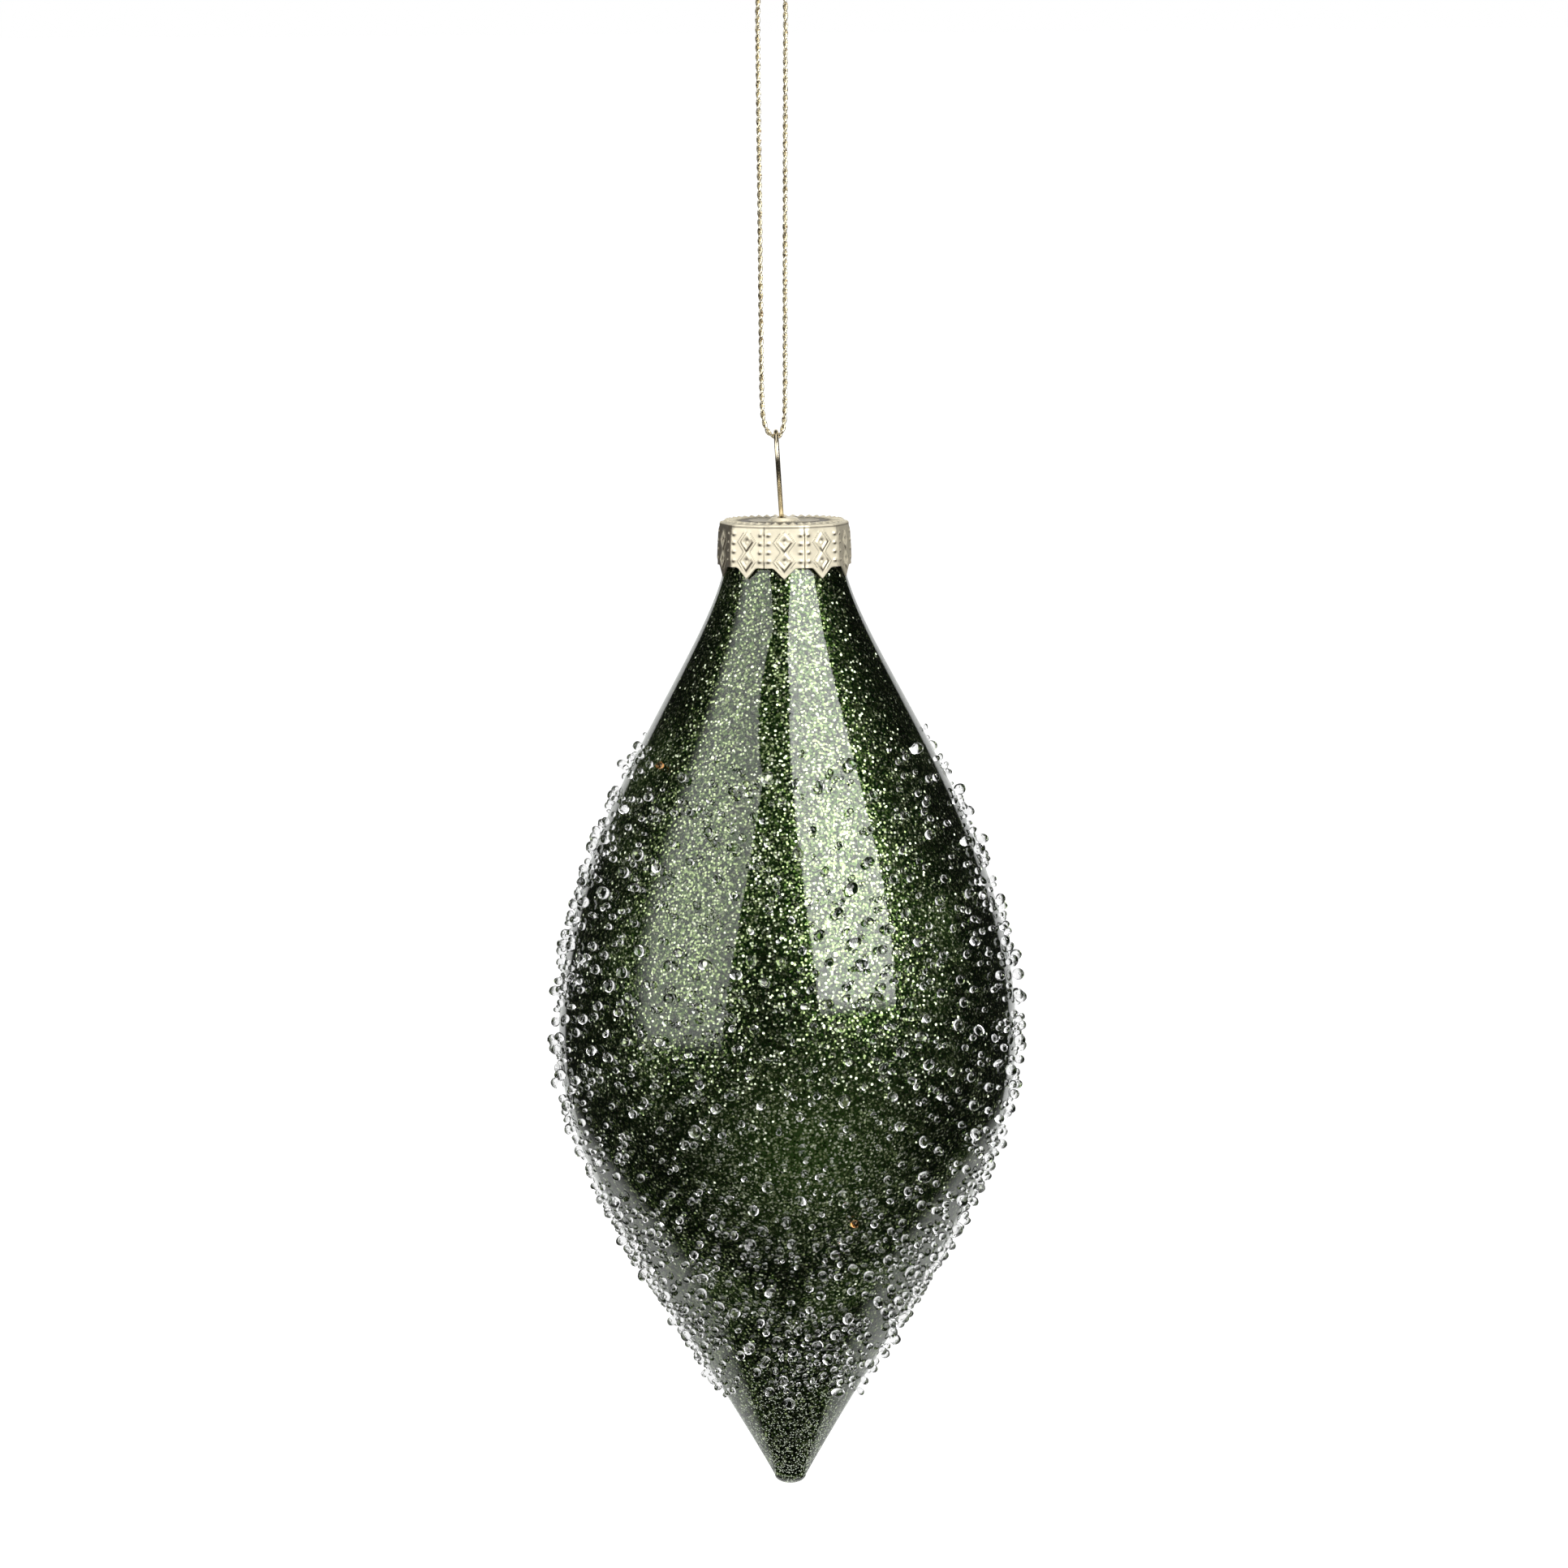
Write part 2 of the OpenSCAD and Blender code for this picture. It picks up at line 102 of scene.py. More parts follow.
class MeshSketch:
    """Points and faces of several closed parts, gathered before they become one mesh."""

    def __init__(self) -> None:
        """Starts with nothing in it."""
        self.points: list[np.ndarray] = []
        self.groups: Faces = []
        self.count = 0

    def add(self, points: np.ndarray, groups: Faces) -> Self:
        """Adds one part.

        Args:
            points: Its corners, one row each.
            groups: Its faces, as arrays of corner numbers with equal corner counts in each.

        Returns:
            This sketch, so that another call can follow.
        """
        self.points.append(points)
        self.groups += [np.asarray(group) + self.count for group in groups]
        self.count += len(points)
        return self

    def finish(self, name: str) -> bpy.types.Object:
        """Makes the mesh object, shaded smooth.

        Args:
            name: Name of the object and its mesh.

        Returns:
            The object, linked to the scene.
        """
        mesh = bpy.data.meshes.new(name)
        points = np.concatenate(self.points).astype(np.float32)
        corners = np.concatenate([group.ravel() for group in self.groups]).astype(np.int32)
        counts = np.concatenate([np.full(len(g), g.shape[1]) for g in self.groups])
        starts = np.concatenate([[0], np.cumsum(counts)[:-1]]).astype(np.int32)
        mesh.vertices.add(len(points))
        mesh.vertices.foreach_set("co", points.ravel())
        mesh.loops.add(len(corners))
        mesh.loops.foreach_set("vertex_index", corners)
        mesh.polygons.add(len(counts))
        mesh.polygons.foreach_set("loop_start", starts)
        mesh.polygons.foreach_set("use_smooth", np.full(len(counts), True))
        mesh.update(calc_edges=True)
        mesh.validate()
        piece = bpy.data.objects.new(name, mesh)
        bpy.context.scene.collection.objects.link(piece)
        return piece


def steps_round(count: int) -> np.ndarray:
    """Angles of even steps round a circle."""
    return np.arange(count) * 2 * math.pi / count


def reach_along(line: np.ndarray) -> np.ndarray:
    """Distance along a line from its start to each of its points."""
    return np.concatenate([[0], np.cumsum(np.linalg.norm(np.diff(line, axis=0), axis=1))])


def grid_faces(rows: int, columns: int, closed: bool = False) -> np.ndarray:
    """Four-cornered faces of a grid of points.

    Args:
        rows: Rows of points.
        columns: Points in a row.
        closed: Whether the last column joins the first.

    Returns:
        One row of four corner numbers for each face.
    """
    last = columns if closed else columns - 1
    row, column = np.meshgrid(np.arange(rows - 1), np.arange(last), indexing="ij")
    beside = (column + 1) % columns
    corners = (row * columns + column, row * columns + beside,
               (row + 1) * columns + beside, (row + 1) * columns + column)
    return np.stack(corners, axis=-1).reshape(-1, 4)


def turned(profile: np.ndarray, segments: int, axis_x: float) -> tuple[np.ndarray, Faces]:
    """Turns an open profile round an upright axis, closed by fans where it meets the axis.

    Args:
        profile: Radius and height of each point, from one end on the axis to the other.
        segments: Number of steps round.
        axis_x: Distance of the axis from the origin along X.

    Returns:
        The points and the faces.
    """
    angle = steps_round(segments)
    side = profile[1:-1]
    rings = np.stack([
        axis_x + side[:, :1] * np.cos(angle),
        side[:, :1] * np.sin(angle),
        np.repeat(side[:, 1:], segments, axis=1),
    ], axis=-1)
    ends = np.array([[axis_x, 0, profile[0, 1]], [axis_x, 0, profile[-1, 1]]])
    points = np.concatenate([rings.reshape(-1, 3), ends])
    first, last = len(points) - 2, len(points) - 1
    here = np.arange(segments)
    beside = (here + 1) % segments
    top = (len(side) - 1) * segments
    fans = np.concatenate([
        np.stack([np.full(segments, first), beside, here], axis=1),
        np.stack([np.full(segments, last), top + here, top + beside], axis=1),
    ])
    return points, [grid_faces(len(side), segments, closed=True), fans]


@dataclass(frozen=True)
class Ridge:
    """A soft ridge or dark line: where its top is, how wide it is and how strong."""

    middle: float
    width: float
    level: float = 1.0

    def over(self, values: np.ndarray) -> np.ndarray:
        """Its height at distances across it, about a third of its level one width off its top."""
        return self.level * np.exp(-(((values - self.middle) / self.width) ** 2))


def frames_along(line: np.ndarray) -> tuple[np.ndarray, np.ndarray]:
    """Two directions across a line that turn as little as they can along it.

    Args:
        line: Points of the line.

    Returns:
        The two unit directions at each point.
    """
    way = unit(np.gradient(line, axis=0))
    across = np.empty_like(line)
    start = np.cross(way[0], (0.0, 1.0, 0.0))
    if np.linalg.norm(start) < ALONG_Y:
        start = np.cross(way[0], (1.0, 0.0, 0.0))
    across[0] = unit(start)
    for i in range(1, len(line)):
        across[i] = unit(across[i - 1] - way[i] * across[i - 1].dot(way[i]))
    return across, np.cross(way, across)


def tube(line: np.ndarray, radius: float, sides: int) -> tuple[np.ndarray, Faces]:
    """Round rod along a line, with flat ends.

    Args:
        line: Points of its centreline.
        radius: Radius of the rod.
        sides: Points in one ring.

    Returns:
        The points and the faces.
    """
    across, over = frames_along(line)
    angle = steps_round(sides)
    rings = (line[:, None]
             + radius * np.cos(angle)[:, None] * across[:, None]
             + radius * np.sin(angle)[:, None] * over[:, None])
    last = (len(line) - 1) * sides
    ends = [np.arange(sides)[::-1][None], (last + np.arange(sides))[None]]
    return rings.reshape(-1, 3), [grid_faces(len(line), sides, closed=True), *ends]


def smooth_line(points: np.ndarray, step: float) -> np.ndarray:
    """Smooth curve through points, with even steps.

    Args:
        points: Points that the curve passes through.
        step: Length of one step.

    Returns:
        Points of the curve.
    """
    padded = np.concatenate([2 * points[:1] - points[1:2], points, 2 * points[-1:] - points[-2:-1]])
    share = np.linspace(0, 1, SPAN_STEPS, endpoint=False)[:, None]
    parts = []
    for a, b, c, d in zip(padded, padded[1:], padded[2:], padded[3:]):
        parts.append(0.5 * (2 * b + (c - a) * share + (2 * a - 5 * b + 4 * c - d) * share**2
                            + (3 * b - a - 3 * c + d) * share**3))
    dense = np.concatenate([*parts, points[-1:]])
    reach = reach_along(dense)
    even = np.linspace(0, reach[-1], max(2, round(reach[-1] / step) + 1))
    return np.stack([np.interp(even, reach, dense[:, i]) for i in range(3)], axis=1)


class NodeSketch:
    """The nodes of a material, world or lamp, with short ways to add and join them."""

    def __init__(self, owner: bpy.types.Material | bpy.types.World | bpy.types.Light) -> None:
        """Empties the owner's node tree.

        Args:
            owner: The material, world or lamp that the nodes belong to.
        """
        owner.use_nodes = True
        self.tree = owner.node_tree
        self.tree.nodes.clear()

    def add(self, kind: str, values: dict | None = None, **settings: object) -> bpy.types.Node:
        """Adds a node.

        Args:
            kind: Blender's name of the node, without its Shader start.
            values: What each input is set to, or the output socket that feeds it.
            **settings: Properties of the node.

        Returns:
            The node.
        """
        node = self.tree.nodes.new("ShaderNode" + kind)
        for name, value in settings.items():
            setattr(node, name, value)
        for name, value in (values or {}).items():
            if isinstance(value, Socket):
                self.tree.links.new(value, node.inputs[name])
            else:
                node.inputs[name].default_value = value
        return node

    def sum(self, operation: str, *terms: object) -> Socket:
        """Adds a Math node.

        Args:
            operation: Its operation.
            *terms: Numbers or sockets.

        Returns:
            Its output.
        """
        return self.add("Math", dict(enumerate(terms)), operation=operation).outputs[0]

    def ramp(self, source: Socket,
             stops: Sequence[tuple[float, tuple]]) -> Socket:
        """Adds a Color Ramp.

        Args:
            source: What it reads.
            stops: Place and colour of each stop.

        Returns:
            Its colour output.
        """
        node = self.add("ValToRGB", {"Fac": source})
        elements = node.color_ramp.elements
        while len(elements) > 1:
            elements.remove(elements[-1])
        elements[0].position, elements[0].color = stops[0][0], (*stops[0][1], 1)
        for place, colour in stops[1:]:
            elements.new(place).color = (*colour, 1)
        return node.outputs["Color"]

    def mix(self, share: object, first: object, second: object) -> Socket:
        """Adds a colour mix.

        Args:
            share: Number or socket that says how much of the second shows.
            first: Colour or socket.
            second: Colour or socket.

        Returns:
            Its colour output.
        """
        node = self.add("Mix", {0: share}, data_type="RGBA")
        for place, colour in zip(MIX_COLOURS, (first, second)):
            if isinstance(colour, Socket):
                self.tree.links.new(colour, node.inputs[place])
            else:
                node.inputs[place].default_value = (*colour, 1)
        return node.outputs[2]

    def fade(self, value: object, reach: Pair,
             levels: Pair = (0.0, 1.0), soft: bool = True) -> Socket:
        """Adds a Map Range.

        Args:
            value: What it reads.
            reach: Values at which the fade starts and ends.
            levels: Results at its start and its end.
            soft: Whether it starts and ends softly.

        Returns:
            Its result.
        """
        return self.add("MapRange", {"Value": value, "From Min": reach[0], "From Max": reach[1],
                                     "To Min": levels[0], "To Max": levels[1]},
                        interpolation_type="SMOOTHSTEP" if soft else "LINEAR").outputs[0]

    def place(self) -> Socket:
        """Position on the object, in metres."""
        return self.add("TexCoord").outputs["Object"]

    def noise(self, grain: float, detail: float = 2.0) -> Socket:
        """Adds a noise whose lumps are about one grain long, and gives its value."""
        return self.add("TexNoise", {"Vector": self.place(), "Scale": 1 / grain,
                                     "Detail": detail}).outputs[0]

    def cells(self, size: float) -> bpy.types.bpy_prop_collection:
        """Adds a Voronoi texture whose cells are about one size wide, and gives its outputs."""
        return self.add("TexVoronoi", {"Vector": self.place(), "Scale": 1 / size}).outputs

    def bump(self, height: Socket, distance: float) -> Socket:
        """Adds a bump of that height, and gives its normal."""
        return self.add("Bump", {"Height": height, "Distance": distance,
                                 "Strength": 1.0}).outputs[0]

    def close(self, kind: str, surface: Socket) -> None:
        """Joins the last shader to the output.

        Args:
            kind: Material, World or Light.
            surface: The shader's output.
        """
        self.add("Output" + kind, {"Surface": surface})


@dataclass(frozen=True)
class Finish(ABC):
    """How a surface looks. Each kind adds its own shader."""

    name: str

    @abstractmethod
    def surface(self, sketch: NodeSketch) -> Socket:
        """Adds the shader to a material's nodes, and gives its output."""

    def material(self) -> bpy.types.Material:
        """Makes the material.

        Returns:
            The material.
        """
        material = bpy.data.materials.new(self.name)
        sketch = NodeSketch(material)
        sketch.close("Material", self.surface(sketch))
        return material


@dataclass(frozen=True)
class ClearGlass(Finish):
    """Clear glass that lets lamps reach what lies behind it."""

    tint: Colour = (1.0, 1.0, 1.0)
    ior: float = 1.5
    wave: float = 0.55 * MM
    wave_height: float = 0.04 * MM

    def surface(self, sketch: NodeSketch) -> Socket:
        """Adds glass that isn't there for shadow rays and diffuse rays.

        Args:
            sketch: Node tree that it goes in.

        Returns:
            Its shader.
        """
        normal = sketch.bump(sketch.noise(self.wave), self.wave_height)
        shown = sketch.add("BsdfGlass", {"Color": (*self.tint, 1), "Roughness": 0.0,
                                         "IOR": self.ior, "Normal": normal}).outputs[0]
        clear = sketch.add("BsdfTransparent").outputs[0]
        rays = sketch.add("LightPath").outputs
        for ray in ("Is Shadow Ray", "Is Diffuse Ray"):
            shown = sketch.add("MixShader", {0: rays[ray], 1: shown, 2: clear}).outputs[0]
        return shown


@dataclass(frozen=True)
class GlitterFlakes(Finish):
    """Small mirror flakes at their own angles in nearly black green lacquer, behind the glass."""

    flake: float = 0.29 * MM
    flake_r: float = 0.52
    flake_spread: float = 0.12
    flat_tilt: float = 0.065
    steep_tilt: float = 0.34
    luck_power: float = 6.0
    polish: float = 0.12
    polish_spread: float = 0.14
    lacquer: Colour = (0.0025, 0.009, 0.0015)
    deep: Colour = (0.008, 0.022, 0.003)
    green: Colour = (0.058, 0.10, 0.024)
    yellow: Colour = (0.36, 0.43, 0.21)
    pale: Colour = (0.84, 0.88, 0.70)
    patch: float = 13 * MM
    patch_noise: Pair = (0.56, 0.76)
    patch_level: float = 0.35
    patch_cover: float = 0.5
    patch_matte: float = 0.6
    patch_green: Colour = (0.026, 0.054, 0.01)
    # Painted glow: a greener, matte spot round this place low on the front, for light that the
    # lining would show there
    painted_glow: Place = (3.0 * MM, -25.5 * MM, -91.5 * MM)
    painted_glow_r: float = 20 * MM
    painted_glow_level: float = 0.6
    speck: float = 0.2 * MM
    speck_r: float = 0.42
    speck_share: float = 0.5
    speck_colour: Colour = (0.50, 0.54, 0.45)
    speck_matte: float = 0.9
    speck_levels: Pair = (-118 * MM, -136 * MM)
    haze: float = 0.42

    def tilted(self, sketch: NodeSketch, chance: Socket,
               luck: Socket) -> Socket:
        """Normal of each flake: most lie nearly flat, and a few stand steep.

        Args:
            sketch: Node tree that it goes in.
            chance: Random colour of each flake, which turns it.
            luck: Random number of each flake, which says how steep it stands.

        Returns:
            The normal.
        """
        reach = sketch.sum("MULTIPLY_ADD", sketch.sum("POWER", luck, self.luck_power),
                           self.steep_tilt, self.flat_tilt)
        centred = sketch.add("VectorMath", {0: chance, 1: (0.5, 0.5, 0.5)},
                             operation="SUBTRACT").outputs[0]
        scaled = sketch.add("VectorMath", {0: centred, "Scale": sketch.sum("MULTIPLY", reach, 2.0)},
                            operation="SCALE").outputs[0]
        normal = sketch.add("NewGeometry").outputs["Normal"]
        leaning = sketch.add("VectorMath", {0: scaled, 1: normal}, operation="ADD").outputs[0]
        return sketch.add("VectorMath", {0: leaning}, operation="NORMALIZE").outputs[0]

    def specks(self, sketch: NodeSketch) -> Socket:
        """Mask of the fine pale specks that gather in the tip.

        Args:
            sketch: Node tree that it goes in.

        Returns:
            One on a speck and nothing beside it.
        """
        cells = sketch.cells(self.speck)
        chance = sketch.add("SeparateColor", {0: cells["Color"]}).outputs[1]
        height = sketch.add("SeparateXYZ", {0: sketch.place()}).outputs[2]
        share = sketch.fade(height, self.speck_levels, (0.0, self.speck_share), soft=False)
        lucky = sketch.sum("LESS_THAN", chance, share)
        near = sketch.sum("LESS_THAN", cells["Distance"], self.speck_r)
        return sketch.sum("MULTIPLY", lucky, near)

    def patches(self, sketch: NodeSketch) -> Socket:
        """Mask of the greener patches, where the lacquer lies thicker than the flakes, and of a
        painted glow low on the front.

        Args:
            sketch: Node tree that it goes in.

        Returns:
            One in the middle of a patch and nothing outside.
        """
        cloudy = sketch.fade(sketch.noise(self.patch, 1.0), self.patch_noise,
                             (0.0, self.patch_level))
        away = sketch.add("VectorMath", {0: sketch.place(), 1: self.painted_glow},
                          operation="DISTANCE").outputs["Value"]
        # Painted glow round one place low on the front
        painted_glow = sketch.fade(away, (self.painted_glow_r, 0.0), (0.0, self.painted_glow_level))
        return sketch.sum("MAXIMUM", cloudy, painted_glow)

    def surface(self, sketch: NodeSketch) -> Socket:
        """Adds the flakes, the lacquer between them, its patches, a painted glow low on the front
        and the specks in the tip.

        Args:
            sketch: Node tree that it goes in.

        Returns:
            Its shader.
        """
        cells = sketch.cells(self.flake)
        other = sketch.add("TexWhiteNoise", {"Vector": cells["Color"]}).outputs
        shine = sketch.add("SeparateColor", {0: other["Color"]}).outputs
        flake = sketch.ramp(shine[0], [(0.0, self.deep), (0.4, self.green),
                                       (0.75, self.yellow), (1.0, self.pale)])
        flake_r = sketch.sum("MULTIPLY_ADD", shine[2], self.flake_spread, self.flake_r)
        near = sketch.sum("LESS_THAN", cells["Distance"], flake_r)
        # Greener, matte ground in the patches and in the painted glow
        patches = self.patches(sketch)
        ground = sketch.mix(patches, self.lacquer, self.patch_green)
        shown = sketch.sum("MULTIPLY_ADD", patches, -self.patch_cover, 1.0)
        covered = sketch.sum("MULTIPLY", near, shown)
        specks = self.specks(sketch)
        flake_rough = sketch.sum("MULTIPLY_ADD", shine[1], self.polish_spread, self.polish)
        matte = sketch.sum("MAXIMUM", sketch.sum("MULTIPLY", patches, self.patch_matte), specks)
        return sketch.add("BsdfPrincipled", {
            "Base Color": sketch.mix(specks, sketch.mix(covered, ground, flake), self.speck_colour),
            "Metallic": sketch.sum("MULTIPLY_ADD", matte, -self.speck_matte, 1.0),
            "Roughness": sketch.add("Mix", {0: near, 2: self.haze, 3: flake_rough}).outputs[0],
            "Normal": self.tilted(sketch, cells["Color"], other["Value"]),
            "Specular IOR Level": 0.0,
        }).outputs[0]


@dataclass(frozen=True)
class StampedMetal(Finish):
    """Thin champagne sheet metal with soft wear and painted shade on its stamping lines."""

    colour: Colour = (0.98, 0.90, 0.69)
    shade: Colour = (0.03, 0.018, 0.008)
    metallic: float = 0.55
    rough: float = 0.38
    rough_spread: float = 0.14
    smudge: float = 0.5 * MM
    worn: float = 0.82
    cloud: float = 1.6 * MM
    grain: float = 0.35 * MM
    grain_h: float = 0.006 * MM
    # Name of the mesh attribute that holds the painted shade
    painted_shade: str = "painted_shade"

    def surface(self, sketch: NodeSketch) -> Socket:
        """Adds worn metal with painted shade where the mesh says so.

        Args:
            sketch: Node tree that it goes in.

        Returns:
            Its shader.
        """
        # Painted shade from the mesh, which mixes the colour towards the dark shade colour
        lines = sketch.add("Attribute", attribute_name=self.painted_shade).outputs["Fac"]
        dull = tuple(self.worn * c for c in self.colour)
        worn = sketch.ramp(sketch.noise(self.cloud, 4.0), [(0.35, self.colour), (0.75, dull)])
        smudges = sketch.noise(self.smudge, 3.0)
        return sketch.add("BsdfPrincipled", {
            "Base Color": sketch.mix(lines, worn, self.shade), "Metallic": self.metallic,
            "Roughness": sketch.sum("MULTIPLY_ADD", smudges, self.rough_spread, self.rough),
            "Normal": sketch.bump(sketch.noise(self.grain), self.grain_h),
        }).outputs[0]


@dataclass(frozen=True)
class DrawnWire(Finish):
    """Gold wire with fine lines along it from drawing."""

    colour: Colour = (0.95, 0.83, 0.60)
    line: float = 0.06 * MM
    line_h: float = 0.004 * MM
    stretch: float = 0.04
    dull: float = 0.75
    rough: float = 0.18
    rough_spread: float = 0.15

    def surface(self, sketch: NodeSketch) -> Socket:
        """Adds metal with a noise that is drawn out along the wire.

        Args:
            sketch: Node tree that it goes in.

        Returns:
            Its shader.
        """
        along = sketch.add("Mapping", {"Vector": sketch.place(), "Scale": (1, 1, self.stretch)})
        lines = sketch.add("TexNoise", {"Vector": along.outputs[0], "Scale": 1 / self.line,
                                        "Detail": 2.0}).outputs[0]
        dull = tuple(self.dull * c for c in self.colour)
        return sketch.add("BsdfPrincipled", {
            "Base Color": sketch.ramp(lines, [(0.35, dull), (0.65, self.colour)]), "Metallic": 1.0,
            "Roughness": sketch.sum("MULTIPLY_ADD", lines, self.rough_spread, self.rough),
            "Normal": sketch.bump(lines, self.line_h),
        }).outputs[0]


@dataclass(frozen=True)
class MetallicThread(Finish):
    """Pale gold foil thread with dark gaps between its turns."""

    colour: Colour = (0.88, 0.78, 0.52)
    glint: Colour = (0.97, 0.93, 0.78)
    gap: Colour = (0.16, 0.10, 0.05)
    shaded: float = 0.6
    fleck: float = 0.22 * MM
    fleck_h: float = 0.05 * MM
    metallic: float = 0.85
    rough: float = 0.22
    rough_spread: float = 0.2

    def surface(self, sketch: NodeSketch) -> Socket:
        """Adds foil in small flecks, each with its own colour.

        Args:
            sketch: Node tree that it goes in.

        Returns:
            Its shader.
        """
        cells = sketch.cells(self.fleck)
        chance = sketch.add("SeparateColor", {0: cells["Color"]}).outputs[0]
        shaded = tuple(self.shaded * c for c in self.colour)
        foil = sketch.ramp(chance, [(0.0, self.gap), (0.22, shaded), (0.5, self.colour),
                                    (1.0, self.glint)])
        return sketch.add("BsdfPrincipled", {
            "Base Color": foil, "Metallic": self.metallic,
            "Roughness": sketch.sum("MULTIPLY_ADD", chance, self.rough_spread, self.rough),
            "Normal": sketch.bump(cells["Distance"], self.fleck_h),
        }).outputs[0]


def dress(piece: bpy.types.Object, slot: Slot, material: bpy.types.Material,
          *nodes: str) -> bpy.types.Object:
    """Puts a piece on its body, with its finish and the nodes that it stands for.

    Args:
        piece: The piece.
        slot: Material slot of the record; not used.
        material: Its finish.
        *nodes: CAD nodes that it stands for.

    Returns:
        The piece.
    """
    piece.data.materials.append(material)
    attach(piece, BODY)
    if nodes:
        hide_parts(*nodes)
    return piece


@dataclass
class DropOutline:
    """Side line of the blown drop: a shoulder curve, a cone curve and a rounded tip."""

    neck_r: float = 7.65 * MM
    neck_straight: float = 3.3 * MM
    neck_pull: float = 11.8 * MM
    shoulder_pull: float = 29 * MM
    belly_depth: float = 67.1 * MM
    belly_pull: float = 18.2 * MM
    cone_pull: float = 30.8 * MM
    cone_angle: float = math.radians(29.8)
    tip_r: float = 2.1 * MM
    tip_h: float = 1.25 * MM
    tip_steps: int = 9
    samples_taken: int = 400
    belly_r: float = field(init=False)
    axis_x: float = field(init=False)
    lip_z: float = field(init=False)
    tip_z: float = field(init=False)

    def __post_init__(self) -> None:
        """Reads the place and the size of the drop from the frame."""
        low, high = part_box("glass_drop")
        self.axis_x = (low.x + high.x) / 2
        self.belly_r = (high.x - low.x) / 2
        self.lip_z = high.z
        self.tip_z = low.z

    def curves(self) -> tuple[np.ndarray, np.ndarray]:
        """Control points of the shoulder curve and the cone curve.

        Returns:
            Radius and height of each, for one curve and then the other.
        """
        neck_end = self.lip_z - self.neck_straight
        belly_z = self.lip_z - self.belly_depth
        tip_top = self.tip_z + self.tip_h
        cone_r = self.tip_r + self.cone_pull * math.sin(self.cone_angle)
        cone_z = tip_top + self.cone_pull * math.cos(self.cone_angle)
        shoulder = np.array([[self.neck_r, neck_end], [self.neck_r, neck_end - self.neck_pull],
                             [self.belly_r, belly_z + self.shoulder_pull],
                             [self.belly_r, belly_z]])
        cone = np.array([[self.belly_r, belly_z], [self.belly_r, belly_z - self.belly_pull],
                         [cone_r, cone_z], [self.tip_r, tip_top]])
        return shoulder, cone

    def at(self, u: np.ndarray) -> tuple[np.ndarray, np.ndarray]:
        """Points on the side line and their outward directions.

        Args:
            u: Places from 0 at the neck over 1 at the belly to 2 above the tip.

        Returns:
            Radius and height of each point, and the unit direction out of the glass.
        """
        shoulder, cone = self.curves()
        u = np.asarray(u, float)[..., None]
        points, ways = [], []
        for p, t in ((shoulder, u), (cone, u - 1)):
            points.append((1 - t) ** 3 * p[0] + 3 * (1 - t) ** 2 * t * p[1]
                          + 3 * (1 - t) * t**2 * p[2] + t**3 * p[3])
            ways.append((1 - t) ** 2 * (p[1] - p[0]) + 2 * (1 - t) * t * (p[2] - p[1])
                        + t**2 * (p[3] - p[2]))
        point = np.where(u < 1, points[0], points[1])
        way = unit(np.where(u < 1, ways[0], ways[1]))
        return point, np.stack([-way[..., 1], way[..., 0]], axis=-1)

    def samples(self) -> tuple[np.ndarray, np.ndarray, np.ndarray]:
        """Close places from end to end, their points and their outward directions."""
        levels = np.linspace(0, 2, self.samples_taken)
        return levels, *self.at(levels)

    def side(self, inset: float, drop: float, steps: int) -> np.ndarray:
        """Side line at a depth inside the glass, from the neck down to the axis.

        Args:
            inset: Depth below the outer face.
            drop: Height of its rounded tip.
            steps: Points on each of the two curves.

        Returns:
            Radius and height of each point.
        """
        point, out = self.at(np.linspace(0, 2, 2 * steps + 1))
        line = point - inset * out
        angle = np.linspace(0, math.pi / 2, self.tip_steps)[1:, None]
        tip = np.concatenate([line[-1, 0] * np.cos(angle),
                              line[-1, 1] - drop * np.sin(angle)], axis=1)
        return np.concatenate([line, tip])


@dataclass
class GlassDrop:
    """The blown drop: one clear wall, open at the neck, with the coat bonded to its inside."""

    outline: DropOutline
    wall: float = 0.5 * MM
    bond: float = 0.08 * MM
    segments: int = 176
    steps: int = 56
    lip_steps: int = 11
    finish: ClearGlass = ClearGlass("clear_blown_glass", tint=(0.985, 1.0, 0.985), ior=1.6,
                                    wave=0.5 * MM, wave_height=0.004 * MM)

    def build(self) -> bpy.types.Object:
        """Builds the wall with both of its faces and the rounded lip.

        Returns:
            The piece.
        """
        shape = self.outline
        outer = shape.side(0, shape.tip_h, self.steps)
        depth = self.wall + self.bond
        inner = shape.side(depth, shape.tip_h / 2, self.steps)
        lip_r = depth / 2
        angle = np.linspace(0, math.pi, self.lip_steps)
        lip = np.stack([shape.neck_r - lip_r + lip_r * np.cos(angle),
                        shape.lip_z - lip_r + lip_r * np.sin(angle)], axis=1)
        profile = np.concatenate([outer[::-1], lip, inner])
        sketch = MeshSketch().add(*turned(profile, self.segments, shape.axis_x))
        piece = sketch.finish("blown_glass")
        return dress(piece, Slot.GLASS, self.finish.material(), "glass_drop")


@dataclass
class GlitterCoat:
    """The glitter lining just inside the glass."""

    outline: DropOutline
    wall: float = 0.5 * MM
    film: float = 0.02 * MM
    thickness: float = 0.15 * MM
    start: float = 1 * MM
    segments: int = 144
    steps: int = 44
    finish: GlitterFlakes = GlitterFlakes("green_glitter_lining")

    def build(self) -> bpy.types.Object:
        """Builds the lining as a closed thin layer.

        Returns:
            The piece.
        """
        shape = self.outline
        outside = self.wall + self.film
        inside = outside + self.thickness
        drop = shape.tip_h / 2 - self.film
        outer = shape.side(outside, drop, self.steps)
        inner = shape.side(inside, drop - self.thickness, self.steps)
        top = shape.lip_z - self.start
        rim = np.array([[shape.neck_r - outside, top], [shape.neck_r - inside, top]])
        profile = np.concatenate([outer[::-1], rim, inner])
        sketch = MeshSketch().add(*turned(profile, self.segments, shape.axis_x))
        piece = sketch.finish("glitter_lining")
        return dress(piece, Slot.GLITTER, self.finish.material(), "glitter_coat")


